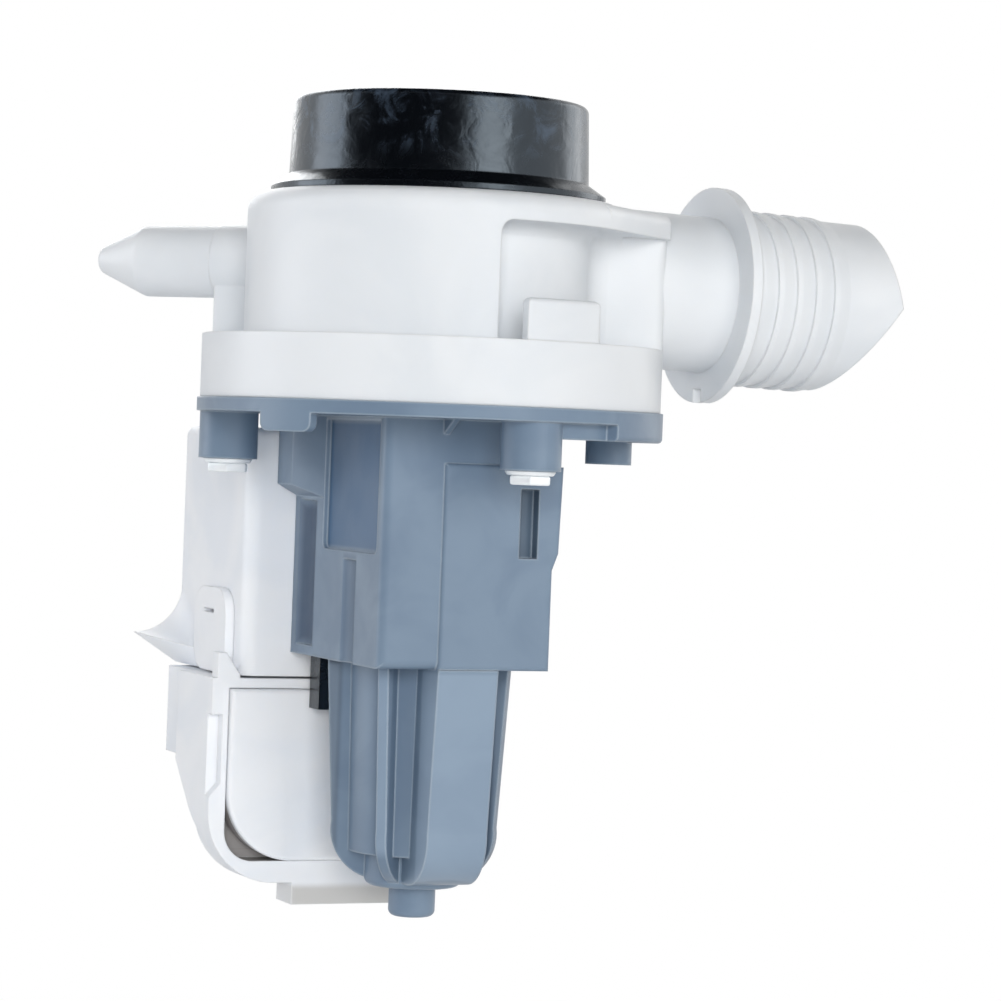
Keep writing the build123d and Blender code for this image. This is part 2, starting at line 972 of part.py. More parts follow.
def impeller_vane():
    """One swept vane from the hub to the rim of the impeller."""
    middle = vane_sweep / 2
    inner = point_at(hub_radius - hub_wall / 2, 0)
    outer = point_at(impeller_radius - vane_thickness, -vane_sweep)
    bend = point_at((hub_radius + impeller_radius) / 2, -middle / 2)
    line = ThreePointArc(inner, bend, outer)
    face = make_face(offset(line, vane_thickness / 2, kind=Kind.ARC).edges())
    height = impeller_plate + vane_height
    return Pos(0, 0, impeller_foot) * extrude(face, height, dir=(0, 0, 1))


def impeller():
    """White impeller with swept vanes and a hub cavity with one drive lug."""
    body = disc(impeller_radius, impeller_foot, impeller_foot + impeller_plate)
    body += disc(hub_radius, impeller_foot, hub_top)
    for index in range(vane_count):
        body += Rot(0, 0, 360 / vane_count * index) * impeller_vane()
    body -= disc(cavity_radius, cavity_foot, hub_top)
    body += sector(
        hub_radius - hub_wall / 2,
        dog_ring_radius + drive_gap,
        -lug_angle,
        0,
        cavity_foot - hub_floor / 2,
        cavity_top,
    )
    body -= disc(shaft_radius + running_gap, impeller_foot, hub_top)
    return body


def hub_damper():
    """Two rubber pads on the flanks of the drive lug."""
    outer = cavity_radius - drive_gap
    inner = dog_ring_radius + drive_gap
    low = cavity_foot + seat_gap
    high = cavity_top - seat_gap
    leading = sector(outer, inner, 0, damper_angle, low, high)
    trailing = sector(outer, inner, -lug_angle - damper_angle, -lug_angle, low, high)
    return [leading, trailing]


def drive_dog():
    """Dog on the shaft that pushes the impeller's lug after some free travel."""
    low = cavity_foot + drive_gap
    high = cavity_top - drive_gap
    start = -lug_angle - damper_angle - drive_gap_angle - dog_angle
    dog = ring(dog_ring_radius, shaft_radius + seat_gap, low, high)
    dog += sector(
        cavity_radius - drive_gap,
        (dog_ring_radius + shaft_radius) / 2,
        start,
        start + dog_angle,
        low,
        high,
    )
    return dog


def hub_cap():
    """Cap that closes the impeller's hub."""
    radius = cavity_radius - seat_gap
    cap = disc(radius, cavity_top, cap_top)
    cap = fillet(cap.edges().group_by(Axis.Z)[-1], cap_height / 2)
    return cap - disc(shaft_radius + running_gap, cavity_top, shaft_top + seat_gap)


# Stator


def stator_poles():
    """Two pole limbs with shoes that close round the rotor tunnel."""
    limb = block(core_leg_inner, core_half_width, core_shoe_back, yoke_front, -core_bottom, -core_top)
    limb += block(
        core_shoe_inner, core_half_width, -core_front, core_shoe_back, -core_bottom, -core_top
    )
    limb -= disc(tunnel_outer_radius + seat_gap, -core_bottom - overrun, -core_top + overrun)
    return [limb, mirror(limb, Plane.YZ)]


def yoke_rivet_places():
    """Places of the two rivets in the yoke."""
    middle = yoke_front + yoke_depth / 2
    return [Pos(-core_leg_centre, middle, 0), Pos(core_leg_centre, middle, 0)]


def stator_yoke():
    """Back bar of the laminated core, with its rivet holes."""
    body = block(
        -core_half_width,
        core_half_width,
        yoke_front,
        yoke_front + yoke_depth,
        -core_bottom,
        -core_top,
    )
    for place in yoke_rivet_places():
        body -= place * disc(rivet_radius + seat_gap, -core_bottom, -core_top)
    return body


def core_rivets():
    """Two rivets that clamp the yoke's laminations."""
    top = -core_top + rivet_head_height
    foot = -core_bottom - rivet_head_height
    rivet = disc(rivet_radius, foot, top)
    rivet += disc(rivet_head_radius, -core_top, top)
    rivet += disc(rivet_head_radius, foot, -core_bottom)
    return [place * rivet for place in yoke_rivet_places()]


def round_limb(margin, corner, front, back):
    """Rounded block round the right pole limb, larger than it by a margin all round."""
    width = core_leg_width + margin * 2
    height = core_stack + margin * 2
    middle = -(core_top + core_bottom) / 2
    section = Pos(core_leg_centre, middle) * RectangleRounded(width, height, corner)
    return Pos(0, front, 0) * extrude(Plane.XZ * section, back - front, dir=(0, 1, 0))


def coil_bobbins():
    """Two bobbins, each a tube between two flanges."""
    tube_margin = seat_gap + bobbin_wall
    flange_margin = tube_margin + bobbin_flange_reach
    body = round_limb(tube_margin, bobbin_wall, bobbin_front, bobbin_back)
    body += round_limb(flange_margin, bobbin_wall, bobbin_front, bobbin_front + bobbin_flange)
    body += round_limb(flange_margin, bobbin_wall, bobbin_back - bobbin_flange, bobbin_back)
    body -= block(
        core_leg_inner - seat_gap,
        core_half_width + seat_gap,
        bobbin_front - overrun,
        bobbin_back + overrun,
        -core_bottom - seat_gap,
        -core_top + seat_gap,
    )
    return [body, mirror(body, Plane.YZ)]


def coil_windings():
    """Two copper windings, each wound between its bobbin's flanges."""
    inner_margin = seat_gap * 2 + bobbin_wall
    front = bobbin_front + bobbin_flange + seat_gap
    back = bobbin_back - bobbin_flange - seat_gap
    body = round_limb(inner_margin + winding_thickness, winding_corner, front, back)
    body -= round_limb(inner_margin, bobbin_wall, front - overrun, back + overrun)
    return [body, mirror(body, Plane.YZ)]


# Covers


def wing_section(reach, tip_drop, y):
    """Section of the flared wing across Y: a quarter round that ends in a sharp rim."""
    wall_line = -cover_half_width
    root = wall_line + cover_wall
    tip = (wall_line - reach, -tip_drop)
    start = (wall_line, -tip_drop + reach)
    half_bend = radians(wing_half_bend)
    bend = (wall_line - reach + reach * cos(half_bend), -tip_drop + reach - reach * sin(half_bend))
    foot = (wall_line - wing_foot_reach, -cover_bottom)
    outline = Curve() + [
        Line((root, -tip_drop + reach), start),
        ThreePointArc(start, bend, tip),
        Line(tip, foot),
        Line(foot, (root, -cover_bottom)),
        Line((root, -cover_bottom), (root, -tip_drop + reach)),
    ]
    return Pos(0, y, 0) * make_face(Plane.XZ * outline)


def wing():
    """Flared wing on the left side of the coil cover, that grows towards the back."""
    front = wing_section(wing_front_reach, wing_front_drop, wing_front)
    back = wing_section(wing_reach, wing_tip_drop, cover_back - cover_corner)
    return loft([front, back])


def tail_slot(low, high):
    """Slots for the tails of the two terminals between two heights."""
    half_width = tail_width / 2 + seat_gap
    half_thickness = blade_thickness / 2 + seat_gap
    slots = []
    for middle in blade_places():
        slots.append(
            block(
                -tail_centre - half_width,
                -tail_centre + half_width,
                middle - half_thickness,
                middle + half_thickness,
                low,
                high,
            )
        )
    return slots


def coil_cover():
    """White cover round the coils, with the wing and a relief for the rear screw boss."""
    outer = block(
        -cover_half_width, cover_half_width, cover_front, cover_back, -cover_bottom, -cover_top
    )
    outer = fillet(upright(outer.edges(), cover_bottom - cover_top), cover_corner)
    outer = fillet(outer.edges().group_by(Axis.Z)[-1], cover_round)
    outer += wing()
    outer -= block(
        -cover_half_width + cover_wall,
        cover_half_width - cover_wall,
        cover_front + cover_wall,
        cover_back + overrun,
        -cover_bottom + cover_wall,
        -cover_top - cover_wall,
    )
    opening = core_half_width + seat_gap * 2
    outer -= block(
        -opening,
        opening,
        cover_front - overrun,
        cover_front + cover_wall + overrun,
        -core_bottom - seat_gap * 2,
        -core_top + seat_gap * 2,
    )
    relief = disc(boss_radius + boss_relief, -cover_bottom - overrun, 0)
    for cut in at_screws(relief):
        outer -= cut
    for slot in tail_slot(-cover_bottom - overrun, -cover_bottom + cover_wall + overrun):
        outer -= slot
    return outer


def cover_back_plate():
    """Plate that closes the back of the coil cover."""
    return block(
        -cover_half_width + cover_wall + seat_gap,
        cover_half_width - cover_wall - seat_gap,
        cover_back - back_plate_thickness,
        cover_back,
        -cover_bottom + cover_wall + seat_gap,
        -cover_top - cover_wall - seat_gap,
    )


def cover_outline(left, right, top, bottom, corner):
    """Front view of the connector cover: square but for a large round lower left corner."""
    return Curve() + [
        Line((-left, -top), (right, -top)),
        Line((right, -top), (right, -bottom)),
        Line((right, -bottom), (-left + corner, -bottom)),
        RadiusArc((-left + corner, -bottom), (-left, -bottom + corner), corner),
        Line((-left, -bottom + corner), (-left, -top)),
    ]


def shell_hollow(gap, corner, front, back):
    """Inside of the connector shell, less a gap all round."""
    outline = cover_outline(
        shell_left - shell_rail - gap,
        shell_right - shell_wall - gap,
        shell_top + shell_wall + gap,
        shell_bottom - shell_floor - gap,
        corner,
    )
    return along_y(outline, front, back)


def shell_heel(margin):
    """What the sloping back of the shell leaves away, with a margin in front of it."""
    side_view = Polyline(
        (shell_back + overrun, -heel_top + margin),
        (heel_back - margin, -heel_foot + margin),
        (heel_back - margin, -foot_drop - overrun),
        (shell_back + overrun, -foot_drop - overrun),
        close=True,
    )
    heel = extrude(Plane.YZ * make_face(side_view), shell_left + shell_right + overrun * 2, dir=(1, 0, 0))
    return Pos(-shell_left - overrun, 0, 0) * heel


def shell_lug():
    """Lug at the upper left corner of the shell, beside the latch."""
    view = Polyline(
        (-lug_left, -slit_top),
        (-lug_left, -lug_rise),
        (-lug_peak, -lug_rise),
        (-lug_right, -lug_shoulder),
        (-lug_right, -slit_top),
        close=True,
    )
    return along_y(view, shell_front, shell_front + lug_thickness)


def connector_shell():
    """White shell under the coil cover, open at the front, with its foot, lug and latch recess."""
    outline = cover_outline(shell_left, shell_right, shell_top, shell_bottom, shell_corner)
    body = along_y(outline, shell_front, shell_back) + shell_lug()
    body -= shell_heel(0)
    hollow = shell_hollow(0, hollow_corner, shell_front - overrun, shell_back - shell_wall)
    body -= hollow - shell_heel(shell_wall)
    body += block(
        -foot_left,
        shell_right,
        shell_front,
        shell_front + foot_thickness,
        -foot_drop,
        -shell_bottom + shell_wall,
    )
    slit = Polyline(
        (-shell_left - overrun, -slit_top),
        (-slit_right, -slit_top),
        (-slit_right, -slit_shoulder),
        (-shell_left - overrun, -slit_bottom),
        close=True,
    )
    body -= along_y(slit, shell_front - overrun, shell_front + slit_depth)
    body -= block(
        -shell_left + shell_wall,
        -shell_left + shell_rail + overrun,
        latch_front - seat_gap,
        latch_front + latch_arm_width + seat_gap,
        -latch_recess_bottom,
        -latch_recess_top,
    )
    body -= block(
        -cover_half_width - latch_thickness - seat_gap * 2,
        -cover_half_width + seat_gap,
        latch_front - seat_gap,
        latch_front + latch_arm_width + seat_gap,
        -latch_recess_bottom,
        -shell_top + overrun,
    )
    return body


def front_panel():
    """Panel that closes the front of the connector shell, with a rim that locates in it."""
    depth = panel_front + panel_thickness
    body = shell_hollow(seat_gap, panel_corner, panel_front, depth)
    face_edges = body.edges().group_by(Axis.Y)[0]
    body = fillet(face_edges, panel_round)
    rim = shell_hollow(seat_gap, panel_corner, depth, shell_front + panel_rim)
    hollow = shell_hollow(seat_gap + shell_wall, panel_corner - shell_wall, depth, shell_front + panel_rim)
    return body + (rim - hollow)


def cover_latch():
    """Latch strap on the left of the coil cover, with its arm hooked into the shell."""
    low = -cover_bottom
    high = -latch_top
    side_view = Pos((latch_front + latch_back) / 2, (low + high) / 2) * RectangleRounded(
        latch_back - latch_front, high - low, latch_corner
    )
    tab = extrude(Plane.YZ * side_view, latch_thickness, dir=(1, 0, 0))
    tab -= block(
        -overrun,
        latch_thickness + overrun,
        latch_slit_front,
        latch_slit_back,
        -latch_slit_top - latch_slit_width,
        -latch_slit_top,
    )
    arm = block(
        0, latch_thickness, latch_front, latch_front + latch_arm_width, -latch_arm_drop, low + latch_corner
    )
    hook = block(
        -latch_hook_reach,
        0,
        latch_front,
        latch_front + latch_arm_width,
        -latch_arm_drop,
        -latch_hook_drop,
    )
    return Pos(-cover_half_width - latch_thickness, 0, 0) * (tab + arm + hook)


# Connector


def blade_places():
    """Middles of the two blades along Y."""
    middle = (socket_front + socket_back) / 2
    return [middle - blade_pitch / 2, middle + blade_pitch / 2]


def connector_socket():
    """Socket for the machine's plug, open at the bottom."""
    body = block(-socket_left, -socket_right, socket_front, socket_back, -socket_bottom, -socket_top)
    body -= block(
        -socket_left + socket_wall,
        -socket_right - socket_wall,
        socket_front + socket_wall,
        socket_back - socket_wall,
        -socket_bottom - overrun,
        -socket_floor_drop,
    )
    for slot in tail_slot(-socket_floor_drop + socket_wall, -socket_top + overrun):
        body -= slot
    for middle in blade_places():
        half = blade_thickness / 2 + seat_gap
        body -= block(
            -blade_centre - blade_width / 2 - seat_gap,
            -blade_centre + blade_width / 2 + seat_gap,
            middle - half,
            middle + half,
            -socket_floor_drop - overrun,
            -socket_floor_drop + blade_root + seat_gap,
        )
    return body


def blade_terminals():
    """Two stamped terminals: a blade in the socket and a tail up to the coils."""
    terminals = []
    for middle in blade_places():
        low = middle - blade_thickness / 2
        high = middle + blade_thickness / 2
        arm_foot = -socket_floor_drop
        terminal = block(
            -blade_centre - blade_width / 2,
            -blade_centre + blade_width / 2,
            low,
            high,
            -blade_drop,
            arm_foot + blade_root,
        )
        terminal += block(
            -tail_centre - tail_width / 2,
            -tail_centre + tail_width / 2,
            low,
            high,
            arm_foot,
            -tail_top,
        )
        terminals.append(terminal)
    return terminals


def tube_along(points, radius, bend):
    """Round wire along straight runs joined by arcs."""
    path = FilletPolyline(*points, radius=bend)
    section = Plane(origin=path @ 0, z_dir=path % 0) * Circle(radius)
    return sweep(section, path=path)


def coil_leads():
    """One lead from each winding to its terminal."""
    near, far = blade_places()
    side = -tail_centre
    winding_side = core_half_width + seat_gap * 2 + bobbin_wall + winding_thickness
    first = tube_along(
        [
            (side, near - blade_thickness / 2, -lead_drop - lead_radius),
            (side, near_lead_end, -lead_drop - lead_radius),
            (-winding_side, near_lead_end, -lead_drop - lead_radius),
        ],
        lead_radius,
        lead_bend,
    )
    second = tube_along(
        [
            (side + tail_width / 2, far, -lead_drop - lead_radius),
            (core_leg_centre, far, -lead_drop - lead_radius),
            (core_leg_centre, bobbin_back, -lead_drop - lead_radius),
        ],
        lead_radius,
        lead_bend,
    )
    return [first, second]


def thermal_fuse():
    """Thermal fuse that lies against the left winding."""
    winding_side = core_half_width + seat_gap * 2 + bobbin_wall + winding_thickness
    middle = -(core_top + core_bottom) / 2
    body = disc(fuse_radius, middle - fuse_length / 2, middle + fuse_length / 2)
    return Pos(-winding_side - fuse_radius - seat_gap, fuse_centre, 0) * body


def buffer_pad():
    """Black rubber pad under the stator box, against the front panel."""
    return block(
        -pad_left, -pad_right, pad_front, panel_front, -box_drop - pad_height, -box_drop
    )


NODES = {
    "volute_housing": volute_housing,
    "inlet_seal": inlet_seal,
    "motor_housing": motor_housing,
    "housing_gasket": housing_gasket,
    "housing_screws": housing_screws,
    "front_shield": front_shield,
    "shield_ring": shield_ring,
    "front_bush": front_bush,
    "rotor_shaft": rotor_shaft,
    "rotor_magnet": rotor_magnet,
    "rotor_carrier": rotor_carrier,
    "thrust_washers": thrust_washers,
    "rear_bush": rear_bush,
    "rear_cup": rear_cup,
    "impeller": impeller,
    "hub_damper": hub_damper,
    "drive_dog": drive_dog,
    "hub_cap": hub_cap,
    "stator_poles": stator_poles,
    "stator_yoke": stator_yoke,
    "core_rivets": core_rivets,
    "coil_bobbins": coil_bobbins,
    "coil_windings": coil_windings,
    "coil_cover": coil_cover,
    "cover_back_plate": cover_back_plate,
    "connector_shell": connector_shell,
    "front_panel": front_panel,
    "cover_latch": cover_latch,
    "connector_socket": connector_socket,
    "blade_terminals": blade_terminals,
    "coil_leads": coil_leads,
    "thermal_fuse": thermal_fuse,
    "buffer_pad": buffer_pad,
}


def main():
    """Write each node, moved so that the inlet mouth is the origin."""
    os.makedirs("parts", exist_ok=True)
    to_origin = Pos(0, 0, -inlet_mouth_height)
    for name, make in NODES.items():
        made = make()
        pieces = made if isinstance(made, list) else [made]
        solids = [to_origin * solid for piece in pieces for solid in piece.solids()]
        shape = solids[0] if len(solids) == 1 else Compound(children=solids)
        export_step(shape, os.path.join("parts", name + ".step"))


main()
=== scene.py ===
"""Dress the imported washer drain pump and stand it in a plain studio.

Lengths on the pump are in millimetres, with heights from the joint plane of the two housings unless
a comment says otherwise. The studio's places are in metres from the centre of the inlet mouth.
"""

import json
import logging
import math
from dataclasses import dataclass
from enum import Enum
from typing import ClassVar

import bmesh
import bpy
from mathutils import Matrix, Vector


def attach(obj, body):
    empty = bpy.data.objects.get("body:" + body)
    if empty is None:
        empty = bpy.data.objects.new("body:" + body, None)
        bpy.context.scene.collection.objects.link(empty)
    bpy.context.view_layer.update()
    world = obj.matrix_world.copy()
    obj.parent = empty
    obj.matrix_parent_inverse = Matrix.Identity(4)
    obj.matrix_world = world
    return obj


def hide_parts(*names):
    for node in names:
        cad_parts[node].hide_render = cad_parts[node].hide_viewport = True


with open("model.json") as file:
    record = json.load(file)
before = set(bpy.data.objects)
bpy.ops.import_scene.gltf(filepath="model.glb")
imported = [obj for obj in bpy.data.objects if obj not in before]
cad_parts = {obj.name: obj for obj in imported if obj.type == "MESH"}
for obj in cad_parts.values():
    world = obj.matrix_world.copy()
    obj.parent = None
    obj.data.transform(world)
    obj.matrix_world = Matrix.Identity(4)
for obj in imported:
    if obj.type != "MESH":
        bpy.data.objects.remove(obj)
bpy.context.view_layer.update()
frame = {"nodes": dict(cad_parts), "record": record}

MM = 0.001
# The inlet mouth, where the frame has its origin, over the joint plane.
MOUTH_HEIGHT = 53.5
LOG = logging.getLogger("drain_pump")

Colour = tuple[float, float, float, float]
Place = tuple[float, float, float]
Span = tuple[float, float]
Tree = bpy.types.NodeTree
Socket = bpy.types.NodeSocket


class Body(Enum):
    """Moving groups of the pump."""

    PUMP = "pump_body"
    ROTOR = "rotor"
    IMPELLER = "impeller_body"


def linear(sheet_colour: str) -> Colour:
    """Turn an sRGB hex colour into linear light, by the curve of the sRGB standard.

    Args:
        sheet_colour: Six hex digits, red first.

    Returns:
        Linear red, green, blue and an alpha of one.
    """
    channels = []
    for start in (0, 2, 4):
        value = int(sheet_colour[start:start + 2], 16) / 255
        channels.append(value / 12.92 if value <= 0.04045 else ((value + 0.055) / 1.055) ** 2.4)
    return (channels[0], channels[1], channels[2], 1.0)


def add_node(
    tree: Tree, kind: str, inputs: dict | None = None, **settings: object,
) -> bpy.types.Node:
    """Add a shader node, set its properties and feed its inputs.

    Args:
        tree: Node tree that takes the node.
        kind: Blender's name for the node's type.
        inputs: Input names or numbers, each with a value or the socket that feeds it.
        settings: Properties of the node.

    Returns:
        The new node.
    """
    node = tree.nodes.new(kind)
    for name, value in settings.items():
        setattr(node, name, value)
    for key, value in (inputs or {}).items():
        if isinstance(value, Socket):
            tree.links.new(value, node.inputs[key])
        else:
            node.inputs[key].default_value = value
    return node


def noise(
    tree: Tree, place: Socket, feature_mm: float, detail: float,
    roughness: float = 0.5, distortion: float = 0.0,
) -> Socket:
    """Add a noise pattern of a real size.

    Args:
        tree: Node tree of the material.
        place: Coordinates in metres.
        feature_mm: Size of the pattern's features, in millimetres.
        detail: Octaves of finer noise.
        roughness: Share of each finer octave.
        distortion: How far the pattern is pulled about.

    Returns:
        The noise, from zero to one.
    """
    pattern = {
        "Vector": place, "Scale": 1 / (feature_mm * MM),
        "Detail": detail, "Roughness": roughness, "Distortion": distortion}
    return add_node(tree, "ShaderNodeTexNoise", pattern).outputs["Fac"]


def ramp(
    tree: Tree, value: Socket, span: Span, result: Span = (0.0, 1.0), smooth: bool = False,
) -> Socket:
    """Carry one span of a value over to another and clamp it at both ends.

    Args:
        tree: Node tree of the material.
        value: The value.
        span: Its two ends.
        result: What it becomes at these ends.
        smooth: Whether it eases in and out.

    Returns:
        The new value.
    """
    ends = {"From Min": span[0], "From Max": span[1], "To Min": result[0], "To Max": result[1]}
    node = add_node(
        tree, "ShaderNodeMapRange", {"Value": value, **ends},
        interpolation_type="SMOOTHSTEP" if smooth else "LINEAR")
    return node.outputs["Result"]


def blend(tree: Tree, share: Socket, first: Socket | Colour, second: Socket | Colour) -> Socket:
    """Mix two colours.

    Args:
        tree: Node tree of the material.
        share: Share of the second colour.
        first: The first colour.
        second: The second colour.

    Returns:
        The mixed colour.
    """
    # The sockets for colours, among those that the node has for every kind of value.
    inputs = {"Factor": share, 6: first, 7: second}
    return add_node(tree, "ShaderNodeMix", inputs, data_type="RGBA").outputs[2]


def combine(tree: Tree, operation: str, first: Socket | float, second: Socket | float) -> Socket:
    """Work out one number from two.

    Args:
        tree: Node tree of the material.
        operation: Blender's name for the sum.
        first: The first number.
        second: The second number.

    Returns:
        The outcome.
    """
    inputs = {0: first, 1: second}
    return add_node(tree, "ShaderNodeMath", inputs, operation=operation).outputs[0]


def vector_sum(tree: Tree, operation: str, *values: Socket | Place) -> Socket:
    """Work with vectors.

    Args:
        tree: Node tree of the material.
        operation: Blender's name for the sum.
        values: One or two vectors.

    Returns:
        The outcome, a number for a length or a dot product and else a vector.
    """
    inputs = dict(enumerate(values))
    outcome = "Value" if operation in ("LENGTH", "DOT_PRODUCT") else "Vector"
    return add_node(tree, "ShaderNodeVectorMath", inputs, operation=operation).outputs[outcome]


def split(tree: Tree, vector: Socket) -> bpy.types.NodeOutputs:
    """Split a vector into its three numbers.

    Args:
        tree: Node tree of the material.
        vector: The vector.

    Returns:
        The numbers, called X, Y and Z.
    """
    return add_node(tree, "ShaderNodeSeparateXYZ", {"Vector": vector}).outputs


def from_axis(tree: Tree, place: Socket) -> Socket:
    """Measure how far a place is from the rotor axis.

    Args:
        tree: Node tree of the material.
        place: Object coordinates.

    Returns:
        The distance in metres.
    """
    return vector_sum(tree, "LENGTH", vector_sum(tree, "MULTIPLY", place, (1.0, 1.0, 0.0)))


def object_place(tree: Tree) -> Socket:
    """Fetch the object's own coordinates, which are the frame's, in metres.

    Args:
        tree: Node tree of the material.

    Returns:
        The coordinates.
    """
    return add_node(tree, "ShaderNodeTexCoord").outputs["Object"]


def softened_edges(tree: Tree, edge_mm: float) -> Socket:
    """Round the edges for the eye, in the shading alone.

    Args:
        tree: Node tree of the material.
        edge_mm: Radius of the edges, in millimetres.

    Returns:
        The rounded normal.
    """
    return add_node(tree, "ShaderNodeBevel", {"Radius": edge_mm * MM}, samples=6).outputs["Normal"]


def relief(
    tree: Tree, height: Socket, strength: float, depth_mm: float, normal: Socket | None = None,
) -> Socket:
    """Raise a fine relief on the surface.

    Args:
        tree: Node tree of the material.
        height: Height of the relief, from zero to one.
        strength: Share of the relief that shows.
        depth_mm: What a height of one stands for, in millimetres.
        normal: Normal under the relief, or none for the mesh's own.

    Returns:
        The normal with the relief.
    """
    inputs = {"Height": height, "Strength": strength, "Distance": depth_mm * MM}
    if normal is not None:
        inputs["Normal"] = normal
    return add_node(tree, "ShaderNodeBump", inputs).outputs["Normal"]


def bare_material(name: str) -> tuple[bpy.types.Material, Tree, bpy.types.Node]:
    """Make a material with only a Principled shader and its output.

    Args:
        name: Name of the material.

    Returns:
        The material, its node tree and the Principled shader.
    """
    material = bpy.data.materials.new(name)
    material.use_nodes = True
    tree = material.node_tree
    tree.nodes.clear()
    shader = add_node(tree, "ShaderNodeBsdfPrincipled")
    add_node(tree, "ShaderNodeOutputMaterial", {"Surface": shader.outputs["BSDF"]})
    return material, tree, shader


@dataclass(frozen=True)
class PaintedShadeHollow:
    """Block of space round a hollow in a moulding, and the painted shade that its walls have in it.

    The corners are millimetres from the rotor axis and the joint plane. The painted shade sets in
    over the soft depth, inward from the block's faces, up to its share.
    """

    low: Place
    high: Place
    soft_mm: float
    colour: str
    share: float

    def tint(self, tree: Tree, place: Socket, base: Socket) -> Socket:
        """Lay the hollow's painted shade over a colour.

        Args:
            tree: Node tree of the material.
            place: Object coordinates.
            base: Colour outside the hollow.

        Returns:
            The colour with the hollow's painted shade in its place.
        """
        middle = [(first + last) / 2 * MM for first, last in zip(self.low, self.high)]
        half = [(last - first) / 2 * MM for first, last in zip(self.low, self.high)]
        middle[2] -= MOUTH_HEIGHT * MM
        away = vector_sum(tree, "ABSOLUTE", vector_sum(tree, "SUBTRACT", place, tuple(middle)))
        past = split(tree, vector_sum(tree, "SUBTRACT", away, tuple(half)))
        outside = combine(tree, "MAXIMUM", past["X"], past["Y"])
        outside = combine(tree, "MAXIMUM", outside, past["Z"])
        share = ramp(tree, outside, (0.0, -self.soft_mm * MM), (0.0, self.share), smooth=True)
        return blend(tree, share, base, linear(self.colour))


@dataclass(frozen=True)
class PaintedRibHighlight:
    """Tops of the ribs round a can, outside a radius and below a height, painted paler as a
    highlight.
    """

    radius: float
    top: float
    soft_mm: float
    colour: str
    share: float

    def tint(self, tree: Tree, place: Socket, base: Socket) -> Socket:
        """Lay the painted highlight over a colour.

        Args:
            tree: Node tree of the material.
            place: Object coordinates.
            base: Colour between the ribs.

        Returns:
            The colour with the ribs' tops paler.
        """
        outer = ramp(
            tree, from_axis(tree, place), (self.radius * MM, (self.radius + self.soft_mm) * MM),
            (0.0, self.share), smooth=True)
        top = self.top - MOUTH_HEIGHT
        span = (top * MM, (top - self.soft_mm) * MM)
        below = ramp(tree, split(tree, place)["Z"], span, smooth=True)
        share = combine(tree, "MULTIPLY", outer, below)
        return blend(tree, share, base, linear(self.colour))


@dataclass(frozen=True)
class Moulding:
    """Injection moulded plastic: spark eroded grain, slow flow shading, and edges left soft and
    painted paler.

    The eye reads the grain as satin and the flow shading as thickness. The paler edges are partly
    wear and partly a painted highlight, and the places add painted shade in hollows and a painted
    highlight on rib tops.
    """

    name: str
    colour: str
    flow_colour: str
    wear_and_highlight_colour: str
    roughness: float
    grain_mm: float
    grain_depth_mm: float
    flow_mm: float
    edge_mm: float
    glow_mm: float = 0.0
    # Blocks of painted shade in hollows, and painted highlights on rib tops.
    places: tuple[PaintedShadeHollow | PaintedRibHighlight, ...] = ()

    FLOW_SPAN: ClassVar[Span] = (0.35, 0.65)
    SHEEN_SPAN: ClassVar[Span] = (0.3, 0.7)
    SHEEN_LESS: ClassVar[float] = 0.05
    SHEEN_MORE: ClassVar[float] = 0.06
    # Agreement of the rounded and the true normal where the paler edge, partly wear and partly a
    # painted highlight, starts and where it is full.
    WEAR_AND_HIGHLIGHT_SPAN: ClassVar[Span] = (0.97, 0.80)
    WEAR_AND_HIGHLIGHT_SHARE: ClassVar[float] = 0.7
    GRAIN_STRENGTH: ClassVar[float] = 0.5
    INDEX: ClassVar[float] = 1.5
    GLOW_SHARE: ClassVar[float] = 0.35
    GLOW_RADII: ClassVar[Place] = (1.0, 0.95, 0.9)

    def make(self) -> bpy.types.Material:
        """Build the material.

        Returns:
            The finished material.
        """
        material, tree, shader = bare_material(self.name)
        place = object_place(tree)
        flow = noise(tree, place, self.flow_mm, detail=3.0, distortion=0.6)
        share = ramp(tree, flow, self.FLOW_SPAN, smooth=True)
        tone = blend(tree, share, linear(self.colour), linear(self.flow_colour))
        # Painted shade in hollows and painted highlights on rib tops, laid over the tone.
        for spot in self.places:
            tone = spot.tint(tree, place, tone)
        # Edges painted paler, partly as wear and partly as a painted highlight.
        rounded = softened_edges(tree, self.edge_mm)
        true_face = add_node(tree, "ShaderNodeNewGeometry").outputs["True Normal"]
        agreement = vector_sum(tree, "DOT_PRODUCT", rounded, true_face)
        edge_wear_and_highlight = ramp(tree, agreement, self.WEAR_AND_HIGHLIGHT_SPAN, (0.0, self.WEAR_AND_HIGHLIGHT_SHARE))
        worn_and_highlit = blend(tree, edge_wear_and_highlight, tone, linear(self.wear_and_highlight_colour))
        tree.links.new(worn_and_highlit, shader.inputs["Base Color"])
        gloss_span = (self.roughness - self.SHEEN_LESS, self.roughness + self.SHEEN_MORE)
        sheen = ramp(tree, flow, self.SHEEN_SPAN, gloss_span)
        tree.links.new(sheen, shader.inputs["Roughness"])
        grain = noise(tree, place, self.grain_mm, detail=2.0, roughness=0.6)
        skin = relief(tree, grain, self.GRAIN_STRENGTH, self.grain_depth_mm, rounded)
        tree.links.new(skin, shader.inputs["Normal"])
        shader.inputs["IOR"].default_value = self.INDEX
        if self.glow_mm:
            shader.inputs["Subsurface Weight"].default_value = self.GLOW_SHARE
            shader.inputs["Subsurface Radius"].default_value = self.GLOW_RADII
            shader.inputs["Subsurface Scale"].default_value = self.glow_mm * MM
        return material


